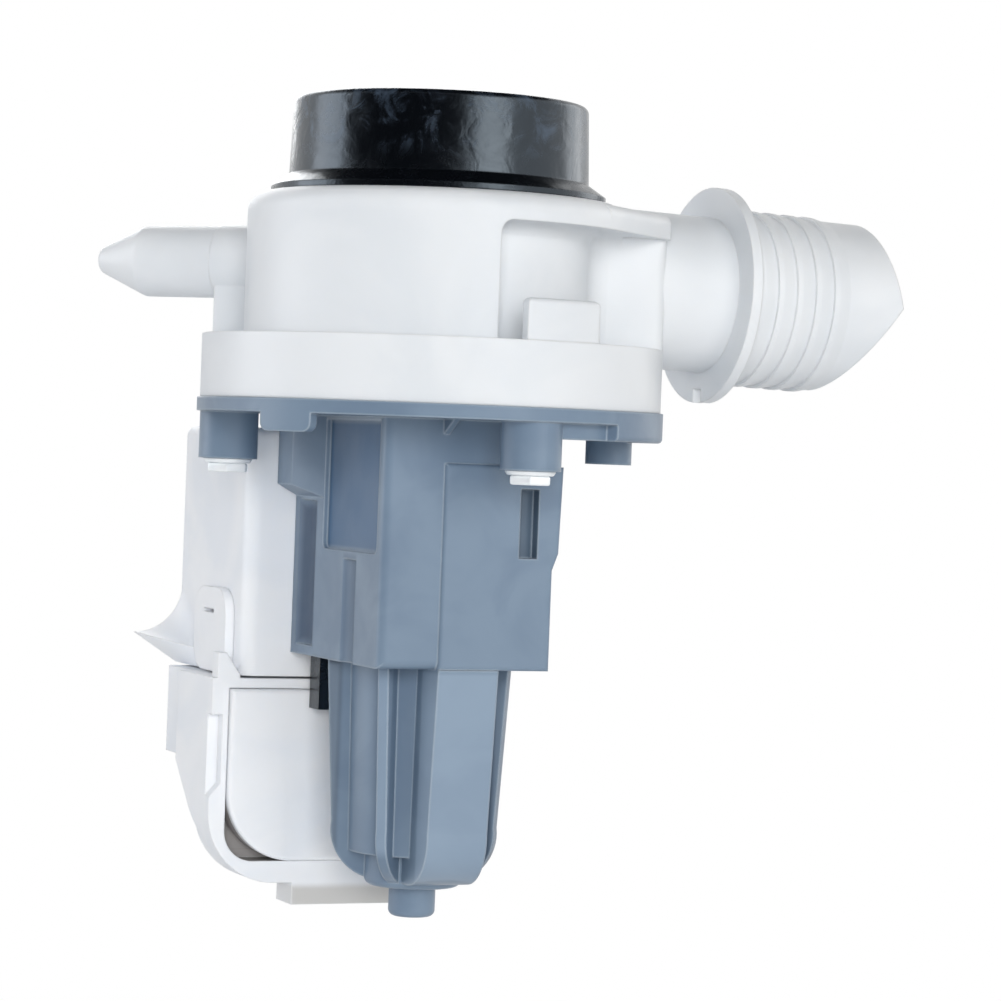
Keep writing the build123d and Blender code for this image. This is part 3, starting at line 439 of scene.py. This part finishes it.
@dataclass(frozen=True)
class Elastomer:
    """Moulded rubber: a dark skin with a grey bloom that handling has smudged.

    The eye reads the broken bloom and the uneven gloss as rubber and not as paint. The bloom's foot
    and the height where it is full count from the inlet mouth.
    """

    name: str
    colour: str
    bloom_colour: str
    mirror_colour: str
    roughness: float
    bloom_mm: float
    bloom_share: float
    bloom_foot_mm: float
    bloom_full_mm: float
    grain_mm: float
    grain_depth_mm: float
    smear_mm: float
    smear_depth_mm: float
    edge_mm: float

    BLOOM_SPAN: ClassVar[Span] = (0.46, 0.80)
    GLOSS_SPAN: ClassVar[Span] = (0.40, 0.72)
    GLOSS_LOSS: ClassVar[float] = 0.16
    GRAIN_STRENGTH: ClassVar[float] = 0.6
    SMEAR_STRENGTH: ClassVar[float] = 1.0
    INDEX: ClassVar[float] = 1.6
    SPECULAR: ClassVar[float] = 0.62

    def make(self) -> bpy.types.Material:
        """Build the material.

        Returns:
            The finished material.
        """
        material, tree, shader = bare_material(self.name)
        place = object_place(tree)
        smudge = noise(tree, place, self.bloom_mm, detail=9.0, roughness=0.68, distortion=1.1)
        broken = ramp(tree, smudge, self.BLOOM_SPAN, (0.0, self.bloom_share), smooth=True)
        span = (self.bloom_foot_mm * MM, self.bloom_full_mm * MM)
        handled = ramp(tree, split(tree, place)["Z"], span, smooth=True)
        share = combine(tree, "MULTIPLY", broken, handled)
        tone = blend(tree, share, linear(self.colour), linear(self.bloom_colour))
        tree.links.new(tone, shader.inputs["Base Color"])
        gloss_span = (self.roughness, self.roughness + self.GLOSS_LOSS)
        gloss = ramp(tree, smudge, self.GLOSS_SPAN, gloss_span)
        tree.links.new(gloss, shader.inputs["Roughness"])
        wave = noise(tree, place, self.smear_mm, detail=2.5, distortion=0.8)
        rounded = softened_edges(tree, self.edge_mm)
        smear = relief(tree, wave, self.SMEAR_STRENGTH, self.smear_depth_mm, rounded)
        grain = noise(tree, place, self.grain_mm, detail=3.0, roughness=0.6)
        skin = relief(tree, grain, self.GRAIN_STRENGTH, self.grain_depth_mm, smear)
        tree.links.new(skin, shader.inputs["Normal"])
        shader.inputs["IOR"].default_value = self.INDEX
        shader.inputs["Specular IOR Level"].default_value = self.SPECULAR
        shader.inputs["Specular Tint"].default_value = linear(self.mirror_colour)
        return material


@dataclass(frozen=True)
class Metal:
    """Metal with fine drawn or ground lines along one axis and a slow change of tone.

    The eye reads the stretched highlights as the way the surface was made.
    """

    name: str
    colour: str
    tarnish: str
    roughness: float
    line_mm: float
    line_axis: int
    tarnish_mm: float
    line_depth_mm: float
    metallic: float = 1.0

    LINE_STRETCH: ClassVar[float] = 0.06
    LINE_STRENGTH: ClassVar[float] = 0.5
    TARNISH_SPAN: ClassVar[Span] = (0.45, 0.75)
    POLISH_SPAN: ClassVar[Span] = (0.3, 0.7)
    POLISH_LESS: ClassVar[float] = 0.06
    POLISH_MORE: ClassVar[float] = 0.1

    def make(self) -> bpy.types.Material:
        """Build the material.

        Returns:
            The finished material.
        """
        material, tree, shader = bare_material(self.name)
        place = object_place(tree)
        stretch = [1.0, 1.0, 1.0]
        stretch[self.line_axis] = self.LINE_STRETCH
        drawn = add_node(tree, "ShaderNodeMapping", {"Vector": place, "Scale": tuple(stretch)})
        lines = noise(tree, drawn.outputs["Vector"], self.line_mm, detail=2.0)
        cloud = noise(tree, place, self.tarnish_mm, detail=4.0, roughness=0.6)
        share = ramp(tree, cloud, self.TARNISH_SPAN)
        tone = blend(tree, share, linear(self.colour), linear(self.tarnish))
        tree.links.new(tone, shader.inputs["Base Color"])
        gloss_span = (self.roughness - self.POLISH_LESS, self.roughness + self.POLISH_MORE)
        polish = ramp(tree, lines, self.POLISH_SPAN, gloss_span)
        tree.links.new(polish, shader.inputs["Roughness"])
        skin = relief(tree, lines, self.LINE_STRENGTH, self.line_depth_mm)
        tree.links.new(skin, shader.inputs["Normal"])
        shader.inputs["Metallic"].default_value = self.metallic
        return material


FINISHES: dict[str, Moulding | Elastomer | Metal] = {
    # Natural polypropylene, moulded in an eroded tool: soft white with a cool cast.
    "white_moulding": Moulding(
        "Moulded polypropylene", "E5E8EB", "DEE2E6", "EEEFF0",
        roughness=0.42, grain_mm=0.45, grain_depth_mm=0.012, flow_mm=26.0, edge_mm=0.45,
        glow_mm=1.2),
    # Natural polyamide, a touch bluer and milkier, with warm shade inside the lower cover and
    # under its foot.
    "cover_moulding": Moulding(
        "Moulded polyamide", "F4F6FA", "ECF0F6", "F8F9FB",
        roughness=0.46, grain_mm=0.5, grain_depth_mm=0.014, flow_mm=20.0, edge_mm=0.4,
        glow_mm=0.9,
        places=(
            PaintedShadeHollow((-27.7, 24.4, -82.2), (7.6, 30.5, -64.0), 0.1, "A39E9B", 0.85),
            PaintedShadeHollow((-24.0, 24.4, -84.2), (7.6, 30.5, -82.0), 0.1, "A39E9B", 0.85),
            PaintedShadeHollow((-15.0, 20.0, -93.0), (10.0, 34.0, -87.4), 1.6, "C2C0BB", 0.75),
        )),
    # Glass filled polypropylene, blue-grey: the fibres cloud its colour, and its edges are painted
    # paler, partly as wear and partly as a painted highlight. Painted shade darkens its recess,
    # flute, groove and slot and both sides of the can, in this order, and a painted highlight pales
    # the tops of the can's ribs.
    "grey_moulding": Moulding(
        "Glass filled polypropylene", "778A9E", "6D8095", "BECBD7",
        roughness=0.40, grain_mm=0.4, grain_depth_mm=0.014, flow_mm=14.0, edge_mm=0.7,
        places=(
            PaintedShadeHollow((-20.0, -17.0, -25.7), (-9.0, 9.2, -3.3), 0.7, "3B6084", 0.85),
            PaintedShadeHollow((-20.0, 11.8, -44.6), (-9.0, 22.6, -17.0), 2.6, "223A56", 0.8),
            PaintedShadeHollow((-20.0, -8.2, -46.0), (-9.0, -0.8, -26.0), 1.4, "465C74", 0.65),
            PaintedShadeHollow((9.0, -24.0, -26.2), (12.8, -12.0, -13.8), 0.3, "4A5B6C", 0.8),
            PaintedShadeHollow((-19.0, -5.0, -82.0), (-12.6, 13.0, -44.8), 1.6, "262C38", 0.75),
            PaintedShadeHollow((7.2, -17.0, -82.0), (19.0, 2.0, -44.8), 3.0, "323D4B", 0.65),
            PaintedRibHighlight(13.8, -45.6, 1.0, "A3B6CA", 0.35),
        )),
    # Acetal, nearly black and slightly waxy.
    "black_moulding": Moulding(
        "Moulded acetal", "1B1C1E", "17181A", "2C2D30",
        roughness=0.38, grain_mm=0.4, grain_depth_mm=0.008, flow_mm=8.0, edge_mm=0.2),
    # Sulphur cured rubber, whose grey bloom cools what the skin mirrors.
    "seal_rubber": Elastomer(
        "Moulded rubber", "07090D", "465466", "DDEFFF",
        roughness=0.20, bloom_mm=6.0, bloom_share=0.85, bloom_foot_mm=-12.0, bloom_full_mm=-7.5,
        grain_mm=0.6, grain_depth_mm=0.02, smear_mm=4.0, smear_depth_mm=0.11, edge_mm=0.4),
    # Bright zinc over steel, milky with its passivation.
    "plated_steel": Metal(
        "Zinc plated steel", "F8FBFD", "EAF0F4",
        roughness=0.42, line_mm=0.25, line_axis=2, tarnish_mm=4.0, line_depth_mm=0.001,
        metallic=0.25),
    # Centreless ground stainless steel.
    "stainless_steel": Metal(
        "Ground stainless steel", "C4C7CA", "B2B5B8",
        roughness=0.22, line_mm=0.2, line_axis=2, tarnish_mm=6.0, line_depth_mm=0.003),
    # Varnished electrical steel, stacked in sheets half a millimetre thick.
    "core_steel": Metal(
        "Varnished core steel", "74777A", "5A5D60",
        roughness=0.45, line_mm=0.5, line_axis=0, tarnish_mm=6.0, line_depth_mm=0.02),
    # Sintered bronze, matt and oily.
    "bearing_bronze": Metal(
        "Sintered bronze", "8C6A42", "6E5232",
        roughness=0.48, line_mm=0.3, line_axis=2, tarnish_mm=2.0, line_depth_mm=0.01),
    # Sintered ferrite, dark and dull.
    "ferrite": Metal(
        "Sintered ferrite", "343537", "2A2B2D",
        roughness=0.55, line_mm=0.4, line_axis=2, tarnish_mm=4.0, line_depth_mm=0.01),
    # Enamelled copper, warm and glossy.
    "copper_wire": Metal(
        "Enamelled copper", "B86A3A", "98502A",
        roughness=0.30, line_mm=0.4, line_axis=0, tarnish_mm=5.0, line_depth_mm=0.004),
    # Tinned brass strip.
    "tinned_brass": Metal(
        "Tinned brass", "CFCABC", "B8B09A",
        roughness=0.30, line_mm=0.3, line_axis=2, tarnish_mm=3.0, line_depth_mm=0.004),
    # Extruded insulation, smooth and creamy.
    "lead_insulation": Moulding(
        "Extruded insulation", "E8E4D8", "E0DCD0", "EFECE4",
        roughness=0.40, grain_mm=0.3, grain_depth_mm=0.004, flow_mm=6.0, edge_mm=0.1),
    # Moulded fuse case, sand coloured.
    "fuse_case": Moulding(
        "Moulded fuse case", "D9D2C2", "D0C8B8", "E2DCCE",
        roughness=0.45, grain_mm=0.3, grain_depth_mm=0.006, flow_mm=5.0, edge_mm=0.2),
}


@dataclass(frozen=True)
class Palette:
    """The materials by the record's slot names."""

    materials: dict[str, bpy.types.Material]

    def dress(self, thing: bpy.types.Object, slot_name: str) -> None:
        """Give an object one material in every slot.

        Args:
            thing: Object to dress.
            slot_name: The record's material slot.
        """
        material = self.materials[slot_name]
        if not thing.material_slots:
            thing.data.materials.append(material)
        for entry in thing.material_slots:
            entry.material = material


def mixed_palette() -> Palette:
    """Make every finish once.

    Returns:
        The palette.
    """
    return Palette({slot_name: finish.make() for slot_name, finish in FINISHES.items()})


def linked_object(name: str, shape: bmesh.types.BMesh) -> bpy.types.Object:
    """Turn a finished bmesh into an object in the scene.

    Args:
        name: Name of the object.
        shape: Finished bmesh in metres, in the row frame. It is freed.

    Returns:
        The new object.
    """
    mesh = bpy.data.meshes.new(name)
    shape.to_mesh(mesh)
    shape.free()
    thing = bpy.data.objects.new(name, mesh)
    bpy.context.scene.collection.objects.link(thing)
    return thing


def new_piece(
    name: str, shape: bmesh.types.BMesh, body: Body, slot_name: str, palette: Palette,
) -> bpy.types.Object:
    """Turn a finished bmesh into a smooth piece that rides on a body.

    Args:
        name: Name of the piece.
        shape: Finished bmesh in metres, in the row frame. It is freed.
        body: Body that carries the piece.
        slot_name: The record's material slot.
        palette: Materials to dress it from.

    Returns:
        The new object.
    """
    piece = linked_object(name, shape)
    for face in piece.data.polygons:
        face.use_smooth = True
    palette.dress(piece, slot_name)
    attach(piece, body.value)
    return piece


def joined(drafts: list[bmesh.types.BMesh]) -> bmesh.types.BMesh:
    """Gather several bmeshes in one.

    Args:
        drafts: Bmeshes to gather. They are freed.

    Returns:
        The bmesh that holds them all.
    """
    whole = bmesh.new()
    for draft in drafts:
        holder = bpy.data.meshes.new("draft")
        draft.to_mesh(holder)
        draft.free()
        whole.from_mesh(holder)
        bpy.data.meshes.remove(holder)
    return whole


@dataclass
class ScrewSet:
    """Three hex washer head screws that hold the two housings together, driven from below.

    The washer narrows from its seat on the boss down to the head, and the head's face is dished.
    """

    circle_radius: float = 35.5
    first_angle: float = 277.0
    count: int = 3
    boss_drop: float = 10.7
    washer_radius: float = 4.4
    washer_foot_radius: float = 3.95
    washer_height: float = 0.8
    washer_bevel: float = 0.24
    washer_bevel_steps: int = 3
    washer_sides: int = 48
    head_radius: float = 3.9
    head_height: float = 1.6
    head_bevel: float = 0.384
    head_bevel_steps: int = 4
    dish_rim: float = 0.858
    dish_slope: float = 0.546
    dish_depth: float = 0.56
    core_radius: float = 1.312
    core_top: float = 8.6
    core_sides: int = 24
    sharp_angle: float = 40.0

    # The washer's rims turn through more than this, in radians, and its facets through less.
    RIM_TURN: ClassVar[float] = 1.0
    ROUND_PROFILE: ClassVar[float] = 0.5

    def one_screw(self) -> bmesh.types.BMesh:
        """Shape one screw on its own axis: conical washer, dished hexagon and core.

        Returns:
            The screw's bmesh.
        """
        shape = bmesh.new()
        seat = -self.boss_drop
        head_top = seat - self.washer_height
        head_foot = head_top - self.head_height
        bmesh.ops.create_cone(
            shape, cap_ends=True, segments=self.washer_sides, radius1=self.washer_foot_radius,
            radius2=self.washer_radius, depth=self.washer_height,
            matrix=Matrix.Translation((0, 0, (seat + head_top) / 2)))
        rims = [edge for edge in shape.edges if edge.calc_face_angle(0) > self.RIM_TURN]
        bmesh.ops.bevel(
            shape, geom=rims, offset=self.washer_bevel, segments=self.washer_bevel_steps,
            profile=self.ROUND_PROFILE, affect="EDGES", material=-1)
        hexagon = bmesh.ops.create_cone(
            shape, cap_ends=True, segments=6, radius1=self.head_radius, radius2=self.head_radius,
            depth=self.head_height, matrix=Matrix.Translation((0, 0, (head_top + head_foot) / 2)))
        corners = set(hexagon["verts"])
        edges = [edge for edge in shape.edges if edge.verts[0] in corners]
        bmesh.ops.bevel(
            shape, geom=edges, offset=self.head_bevel, segments=self.head_bevel_steps,
            profile=self.ROUND_PROFILE, affect="EDGES", material=-1)
        # The hexagon's underside: the largest of the lowest faces.
        under = min(
            shape.faces,
            key=lambda face: (round(face.calc_center_median().z, 4), -face.calc_area()))
        bmesh.ops.inset_individual(shape, faces=[under], thickness=self.dish_rim)
        bmesh.ops.inset_individual(
            shape, faces=[under], thickness=self.dish_slope, depth=-self.dish_depth)
        core_length = self.core_top - seat
        bmesh.ops.create_cone(
            shape, cap_ends=True, segments=self.core_sides, radius1=self.core_radius,
            radius2=self.core_radius, depth=core_length,
            matrix=Matrix.Translation((0, 0, seat + core_length / 2)))
        return shape

    def build(self, palette: Palette) -> bpy.types.Object:
        """Place the screws round the plate and put them in place of the plain ones.

        Args:
            palette: Materials to dress from.

        Returns:
            The piece.
        """
        drafts = []
        for index in range(self.count):
            one = self.one_screw()
            angle = math.radians(self.first_angle + index * 360 / self.count)
            spin = Matrix.Rotation(angle, 4, "Z")
            reach = Vector((math.cos(angle), math.sin(angle), 0)) * self.circle_radius
            seat = Matrix.Translation(reach - Vector((0, 0, MOUTH_HEIGHT)))
            bmesh.ops.transform(one, matrix=Matrix.Scale(MM, 4) @ seat @ spin, verts=one.verts)
            drafts.append(one)
        all_screws = joined(drafts)
        bmesh.ops.recalc_face_normals(all_screws, faces=all_screws.faces)
        piece = new_piece("washer_head_screws", all_screws, Body.PUMP, "plated_steel", palette)
        piece.data.set_sharp_from_angle(angle=math.radians(self.sharp_angle))
        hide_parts("housing_screws")
        return piece


@dataclass
class WindingPair:
    """Two coils of enamelled wire, each wound in close turns over its inner layers.

    The coils lie along Y, from front to back, round the two legs of the core.
    """

    leg_centre: float = 9.8
    leg_width: float = 8.0
    stack_height: float = 26.0
    stack_middle: float = -27.0
    margin: float = 4.44
    inner_margin: float = 1.44
    corner: float = 2.4
    front: float = 28.12
    back: float = 43.08
    wire_radius: float = 0.25
    corner_steps: int = 6
    wire_sides: int = 8
    sharp_angle: float = 50.0

    def loop(self, margin: float, corner: float) -> list[tuple[Vector, Vector]]:
        """Walk once round the coil's rounded section.

        Args:
            margin: How far the walk stands outside the iron.
            corner: Radius of its corners.

        Returns:
            Points of the walk, each with its outward direction.
        """
        half_width = self.leg_width / 2 + margin - corner
        half_height = self.stack_height / 2 + margin - corner
        places = []
        for quarter, (side, height) in enumerate(((1, 1), (-1, 1), (-1, -1), (1, -1))):
            for step in range(self.corner_steps + 1):
                angle = math.radians(90) * (quarter + step / self.corner_steps)
                outward = Vector((math.cos(angle), 0, math.sin(angle)))
                hub = Vector((side * half_width, 0, height * half_height))
                places.append((hub + outward * corner, outward))
        return places

    def add_tube(self, shape: bmesh.types.BMesh, rings: list[list[Vector]], closed: bool) -> None:
        """Skin a row of rings with quads.

        Args:
            shape: Bmesh that takes the skin.
            rings: Rings of points, all with the same number of points.
            closed: Whether the last ring joins the first; if not, both ends are capped.
        """
        rows = [[shape.verts.new(point) for point in ring] for ring in rings]
        pairs = list(zip(rows, rows[1:] + rows[:1])) if closed else list(zip(rows, rows[1:]))
        for low, high in pairs:
            for index in range(len(low)):
                following = (index + 1) % len(low)
                shape.faces.new((low[index], low[following], high[following], high[index]))
        if not closed:
            shape.faces.new(rows[0])
            shape.faces.new(tuple(reversed(rows[-1])))

    def one_coil(self, side: int) -> bmesh.types.BMesh:
        """Shape one coil: a sleeve for its inner layers and one wire wound over it.

        Args:
            side: One for the right coil, minus one for the left.

        Returns:
            The coil's bmesh.
        """
        shape = bmesh.new()
        middle = Vector((side * self.leg_centre, 0, self.stack_middle))
        front = Vector((0, self.front, 0))
        back = Vector((0, self.back, 0))
        wire = self.wire_radius * 2
        inside = self.loop(self.inner_margin, self.inner_margin)
        layers = self.loop(self.margin - wire, self.corner - wire)
        sleeve = [
            [middle + near + front, middle + far + front, middle + far + back, middle + near + back]
            for (near, _), (far, _) in zip(inside, layers)]
        self.add_tube(shape, sleeve, True)
        walk = self.loop(self.margin - self.wire_radius, self.corner - self.wire_radius)
        turns = int((self.back - self.front) / wire) - 1
        pitch = (self.back - self.front - wire) / turns
        rings = []
        for number in range(turns * len(walk) + 1):
            point, outward = walk[number % len(walk)]
            along = self.front + self.wire_radius + pitch * number / len(walk)
            ring = []
            for corner in range(self.wire_sides):
                angle = math.tau * corner / self.wire_sides
                offset = outward * math.cos(angle) + Vector((0, math.sin(angle), 0))
                ring.append(middle + point + Vector((0, along, 0)) + offset * self.wire_radius)
            rings.append(ring)
        self.add_tube(shape, rings, False)
        return shape

    def build(self, palette: Palette) -> bpy.types.Object:
        """Wind both coils and put them in place of the plain ones.

        Args:
            palette: Materials to dress from.

        Returns:
            The piece.
        """
        both = joined([self.one_coil(side) for side in (-1, 1)])
        seat = Matrix.Scale(MM, 4) @ Matrix.Translation((0, 0, -MOUTH_HEIGHT))
        bmesh.ops.transform(both, matrix=seat, verts=both.verts)
        bmesh.ops.recalc_face_normals(both, faces=both.faces)
        piece = new_piece("wound_coils", both, Body.PUMP, "copper_wire", palette)
        piece.data.set_sharp_from_angle(angle=math.radians(self.sharp_angle))
        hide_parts("coil_windings")
        return piece


@dataclass
class CadFinish:
    """Puts the finishes on the CAD nodes that stay as they are."""

    def build(self, palette: Palette) -> int:
        """Dress every node from its slot in the record.

        Args:
            palette: Materials to dress from.

        Returns:
            How many nodes were dressed.
        """
        slots = {entry["node"]: entry["material_slot"] for entry in frame["record"]["subparts"]}
        for name, thing in frame["nodes"].items():
            palette.dress(thing, slots[name])
            LOG.info("node %s: %s", name, FINISHES[slots[name]].name)
        return len(slots)


@dataclass(frozen=True)
class Lamp:
    """One soft square lamp: its place and side in metres, its power in watts and its tint."""

    name: str
    spot: Place
    size: float
    power: float
    tint: str = "FFFFFF"
    mirrored: bool = True

    def add(self, aim: Vector) -> bpy.types.Object:
        """Stand the lamp in the scene.

        Args:
            aim: The point it faces.

        Returns:
            The lamp's object.
        """
        data = bpy.data.lights.new(self.name, "AREA")
        data.shape = "SQUARE"
        data.size = self.size
        data.energy = self.power
        data.color = linear(self.tint)[:3]
        thing = bpy.data.objects.new(self.name, data)
        spot = Vector(self.spot)
        turn = (aim - spot).to_track_quat("-Z", "Y").to_matrix().to_4x4()
        thing.matrix_world = Matrix.Translation(spot) @ turn
        thing.visible_glossy = self.mirrored
        bpy.context.scene.collection.objects.link(thing)
        return thing


@dataclass
class Viewpoint:
    """The camera at the photograph's angle, with lengths in millimetres and angles in degrees."""

    yaw: float = 22.0
    roll: float = 2.2
    distance: float = 620.0
    horizon_drop: float = 6.9
    focal_pixels: float = 3500.0
    frame_pixels: float = 1001.0
    # Pixel in which the rotor axis meets the horizon.
    axis_pixel: Span = (428.5, 444.0)
    sensor: float = 36.0
    clip: Span = (0.01, 50.0)

    def add(self) -> bpy.types.Object:
        """Create the camera.

        Returns:
            The camera's object.
        """
        yaw = math.radians(self.yaw)
        roll = math.radians(self.roll)
        ahead = Vector((math.sin(yaw), math.cos(yaw), 0))
        level = Vector((math.cos(yaw), -math.sin(yaw), 0))
        upward = Vector((0, 0, 1))
        across = level * math.cos(roll) + upward * math.sin(roll)
        over = upward * math.cos(roll) - level * math.sin(roll)
        middle = (self.frame_pixels - 1) / 2
        right_pixels = middle - self.axis_pixel[0]
        down_pixels = middle - self.axis_pixel[1]
        aim = ahead * self.focal_pixels + across * right_pixels - over * down_pixels
        aim.normalize()
        side = aim.cross(over).normalized()
        top = side.cross(aim)
        spot = -ahead * self.distance * MM + upward * (-MOUTH_HEIGHT - self.horizon_drop) * MM
        data = bpy.data.cameras.new("camera")
        data.sensor_width = self.sensor
        data.lens = self.sensor * self.focal_pixels / self.frame_pixels
        data.clip_start, data.clip_end = self.clip
        camera = bpy.data.objects.new("camera", data)
        turn = Matrix((side, top, -aim)).transposed().to_4x4()
        camera.matrix_world = Matrix.Translation(spot) @ turn
        bpy.context.scene.collection.objects.link(camera)
        bpy.context.scene.camera = camera
        return camera


@dataclass
class PaintedFloor:
    """White floor that keeps the shadow near the pump, white farther out and clear from below."""

    height: float = -0.205
    size: float = 6.0
    # Distances from the axis between which the paint gives way to plain white.
    fade: Span = (0.14, 0.30)
    lift: float = 0.34
    paint: str = "EDEEEF"
    white: str = "FFFFFF"

    def material(self) -> bpy.types.Material:
        """Build the floor's material.

        Returns:
            The finished material.
        """
        material = bpy.data.materials.new("Painted floor")
        material.use_nodes = True
        tree = material.node_tree
        tree.nodes.clear()
        far = ramp(tree, from_axis(tree, object_place(tree)), self.fade, smooth=True)
        path = add_node(tree, "ShaderNodeLightPath").outputs
        seen = combine(tree, "MAXIMUM", path["Is Camera Ray"], path["Is Glossy Ray"])
        share = combine(tree, "MULTIPLY", seen, far)
        lift = combine(tree, "MULTIPLY", seen, self.lift)
        paint = add_node(tree, "ShaderNodeBsdfDiffuse", {"Color": linear(self.paint)}).outputs[0]
        white = add_node(
            tree, "ShaderNodeEmission", {"Color": linear(self.white), "Strength": 1.0}).outputs[0]
        glow = add_node(
            tree, "ShaderNodeEmission", {"Color": linear(self.white), "Strength": lift}).outputs[0]
        near = add_node(tree, "ShaderNodeAddShader", {0: paint, 1: glow}).outputs[0]
        both = add_node(tree, "ShaderNodeMixShader", {0: share, 1: near, 2: white}).outputs[0]
        back_face = add_node(tree, "ShaderNodeNewGeometry").outputs["Backfacing"]
        under = combine(tree, "MULTIPLY", path["Is Camera Ray"], back_face)
        clear = add_node(tree, "ShaderNodeBsdfTransparent").outputs[0]
        shown = add_node(tree, "ShaderNodeMixShader", {0: under, 1: both, 2: clear}).outputs[0]
        add_node(tree, "ShaderNodeOutputMaterial", {"Surface": shown})
        return material

    def add(self) -> bpy.types.Object:
        """Lay the floor.

        Returns:
            The floor.
        """
        shape = bmesh.new()
        bmesh.ops.create_grid(
            shape, x_segments=1, y_segments=1, size=self.size / 2,
            matrix=Matrix.Translation((0, 0, self.height)))
        floor = linked_object("floor", shape)
        floor.data.materials.append(self.material())
        return floor


@dataclass
class BlackFlag:
    """Curved black felt behind the camera with its foot on the floor, and a disc of it overhead.

    Only reflections meet it: the glossy black rubber mirrors it, as the photograph's did its room.
    """

    distance: float = 1.3
    # Azimuths of its two ends, in degrees.
    ends: Span = (-190.0, -94.0)
    low: float = -0.45
    high: float = 1.0
    steps: int = 24
    foot_height: float = -0.2
    foot_share: float = 0.25
    ceiling_height: float = 1.25
    ceiling_radius: float = 1.5
    ceiling_sides: int = 48
    felt: str = "0A0B0D"
    worn_felt: str = "23262A"
    nap_mm: float = 1000 / 3

    def add(self) -> bpy.types.Object:
        """Hang the flag.

        Returns:
            The flag.
        """
        shape = bmesh.new()
        bmesh.ops.create_circle(
            shape, cap_ends=True, segments=self.ceiling_sides, radius=self.ceiling_radius,
            matrix=Matrix.Translation((0, 0, self.ceiling_height)))
        near = []
        foot = []
        low = []
        high = []
        lay = Vector((0, 0, self.foot_height))
        first, last = self.ends
        for step in range(self.steps + 1):
            angle = math.radians(first + (last - first) * (step / self.steps))
            around = Vector((math.cos(angle), math.sin(angle), 0)) * self.distance
            near.append(shape.verts.new(around * self.foot_share + lay))
            foot.append(shape.verts.new(around + lay))
            low.append(shape.verts.new(around + Vector((0, 0, self.low))))
            high.append(shape.verts.new(around + Vector((0, 0, self.high))))
        for step in range(self.steps):
            shape.faces.new((low[step], high[step], high[step + 1], low[step + 1]))
            shape.faces.new((near[step], foot[step], foot[step + 1], near[step + 1]))
        flag = linked_object("flag", shape)
        material, tree, shader = bare_material("Black studio flag")
        # Felt: a little uneven, so that its reflection isn't one flat tone.
        nap = noise(tree, object_place(tree), self.nap_mm, detail=3.0)
        tone = blend(tree, nap, linear(self.felt), linear(self.worn_felt))
        tree.links.new(tone, shader.inputs["Base Color"])
        shader.inputs["Roughness"].default_value = 1.0
        shader.inputs["Specular IOR Level"].default_value = 0.0
        flag.data.materials.append(material)
        flag.visible_camera = False
        flag.visible_diffuse = False
        flag.visible_transmission = False
        flag.visible_shadow = False
        return flag


@dataclass
class Studio:
    """Plain pale floor, soft lamps, a white sky, a black flag and the camera."""

    sky: str = "FFFFFF"
    sky_level: float = 0.24
    lamp_aim: Place = (0.0, 0.0, -0.07)
    lamps: tuple[Lamp, ...] = (
        Lamp("front_lamp", (-0.6, -1.68, 0.17), 0.8, 19.0, mirrored=False),
        Lamp("key_lamp", (0.37, -1.15, 0.28), 0.55, 3.0, "FFFDFA"),
        Lamp("fill_lamp", (-1.15, 0.55, 0.22), 0.8, 4.6, "F8FAFF"),
        Lamp("back_lamp", (0.2, 1.3, 0.55), 0.9, 7.0),
        Lamp("side_lamp", (1.3, 0.35, 0.3), 0.7, 2.4),
    )

    def add_world(self) -> None:
        """White to the camera and to reflections, a plain soft level to everything else."""
        world = bpy.data.worlds.new("studio")
        bpy.context.scene.world = world
        world.use_nodes = True
        tree = world.node_tree
        tree.nodes.clear()
        path = add_node(tree, "ShaderNodeLightPath").outputs
        seen = combine(tree, "MAXIMUM", path["Is Camera Ray"], path["Is Glossy Ray"])
        seen = combine(tree, "MAXIMUM", seen, path["Is Transmission Ray"])
        level = ramp(tree, seen, (0.0, 1.0), (self.sky_level, 1.0))
        sky = add_node(tree, "ShaderNodeBackground", {"Color": linear(self.sky), "Strength": level})
        add_node(tree, "ShaderNodeOutputWorld", {"Surface": sky.outputs[0]})

    def build(self) -> None:
        """Set up the camera, world, floor, flag and lamps."""
        Viewpoint().add()
        self.add_world()
        PaintedFloor().add()
        BlackFlag().add()
        for lamp in self.lamps:
            lamp.add(Vector(self.lamp_aim))
        bpy.context.scene.view_settings.view_transform = "Standard"


def main() -> None:
    """Dress the frame, build the pieces and set up the studio."""
    logging.basicConfig(level=logging.INFO, format="%(message)s")
    palette = mixed_palette()
    count = CadFinish().build(palette)
    LOG.info("dressed %d nodes", count)
    screws = ScrewSet().build(palette)
    LOG.info("built %s", screws.name)
    coils = WindingPair().build(palette)
    LOG.info("built %s", coils.name)
    Studio().build()
    LOG.info("set up the studio")


if __name__ == "__main__":
    main()
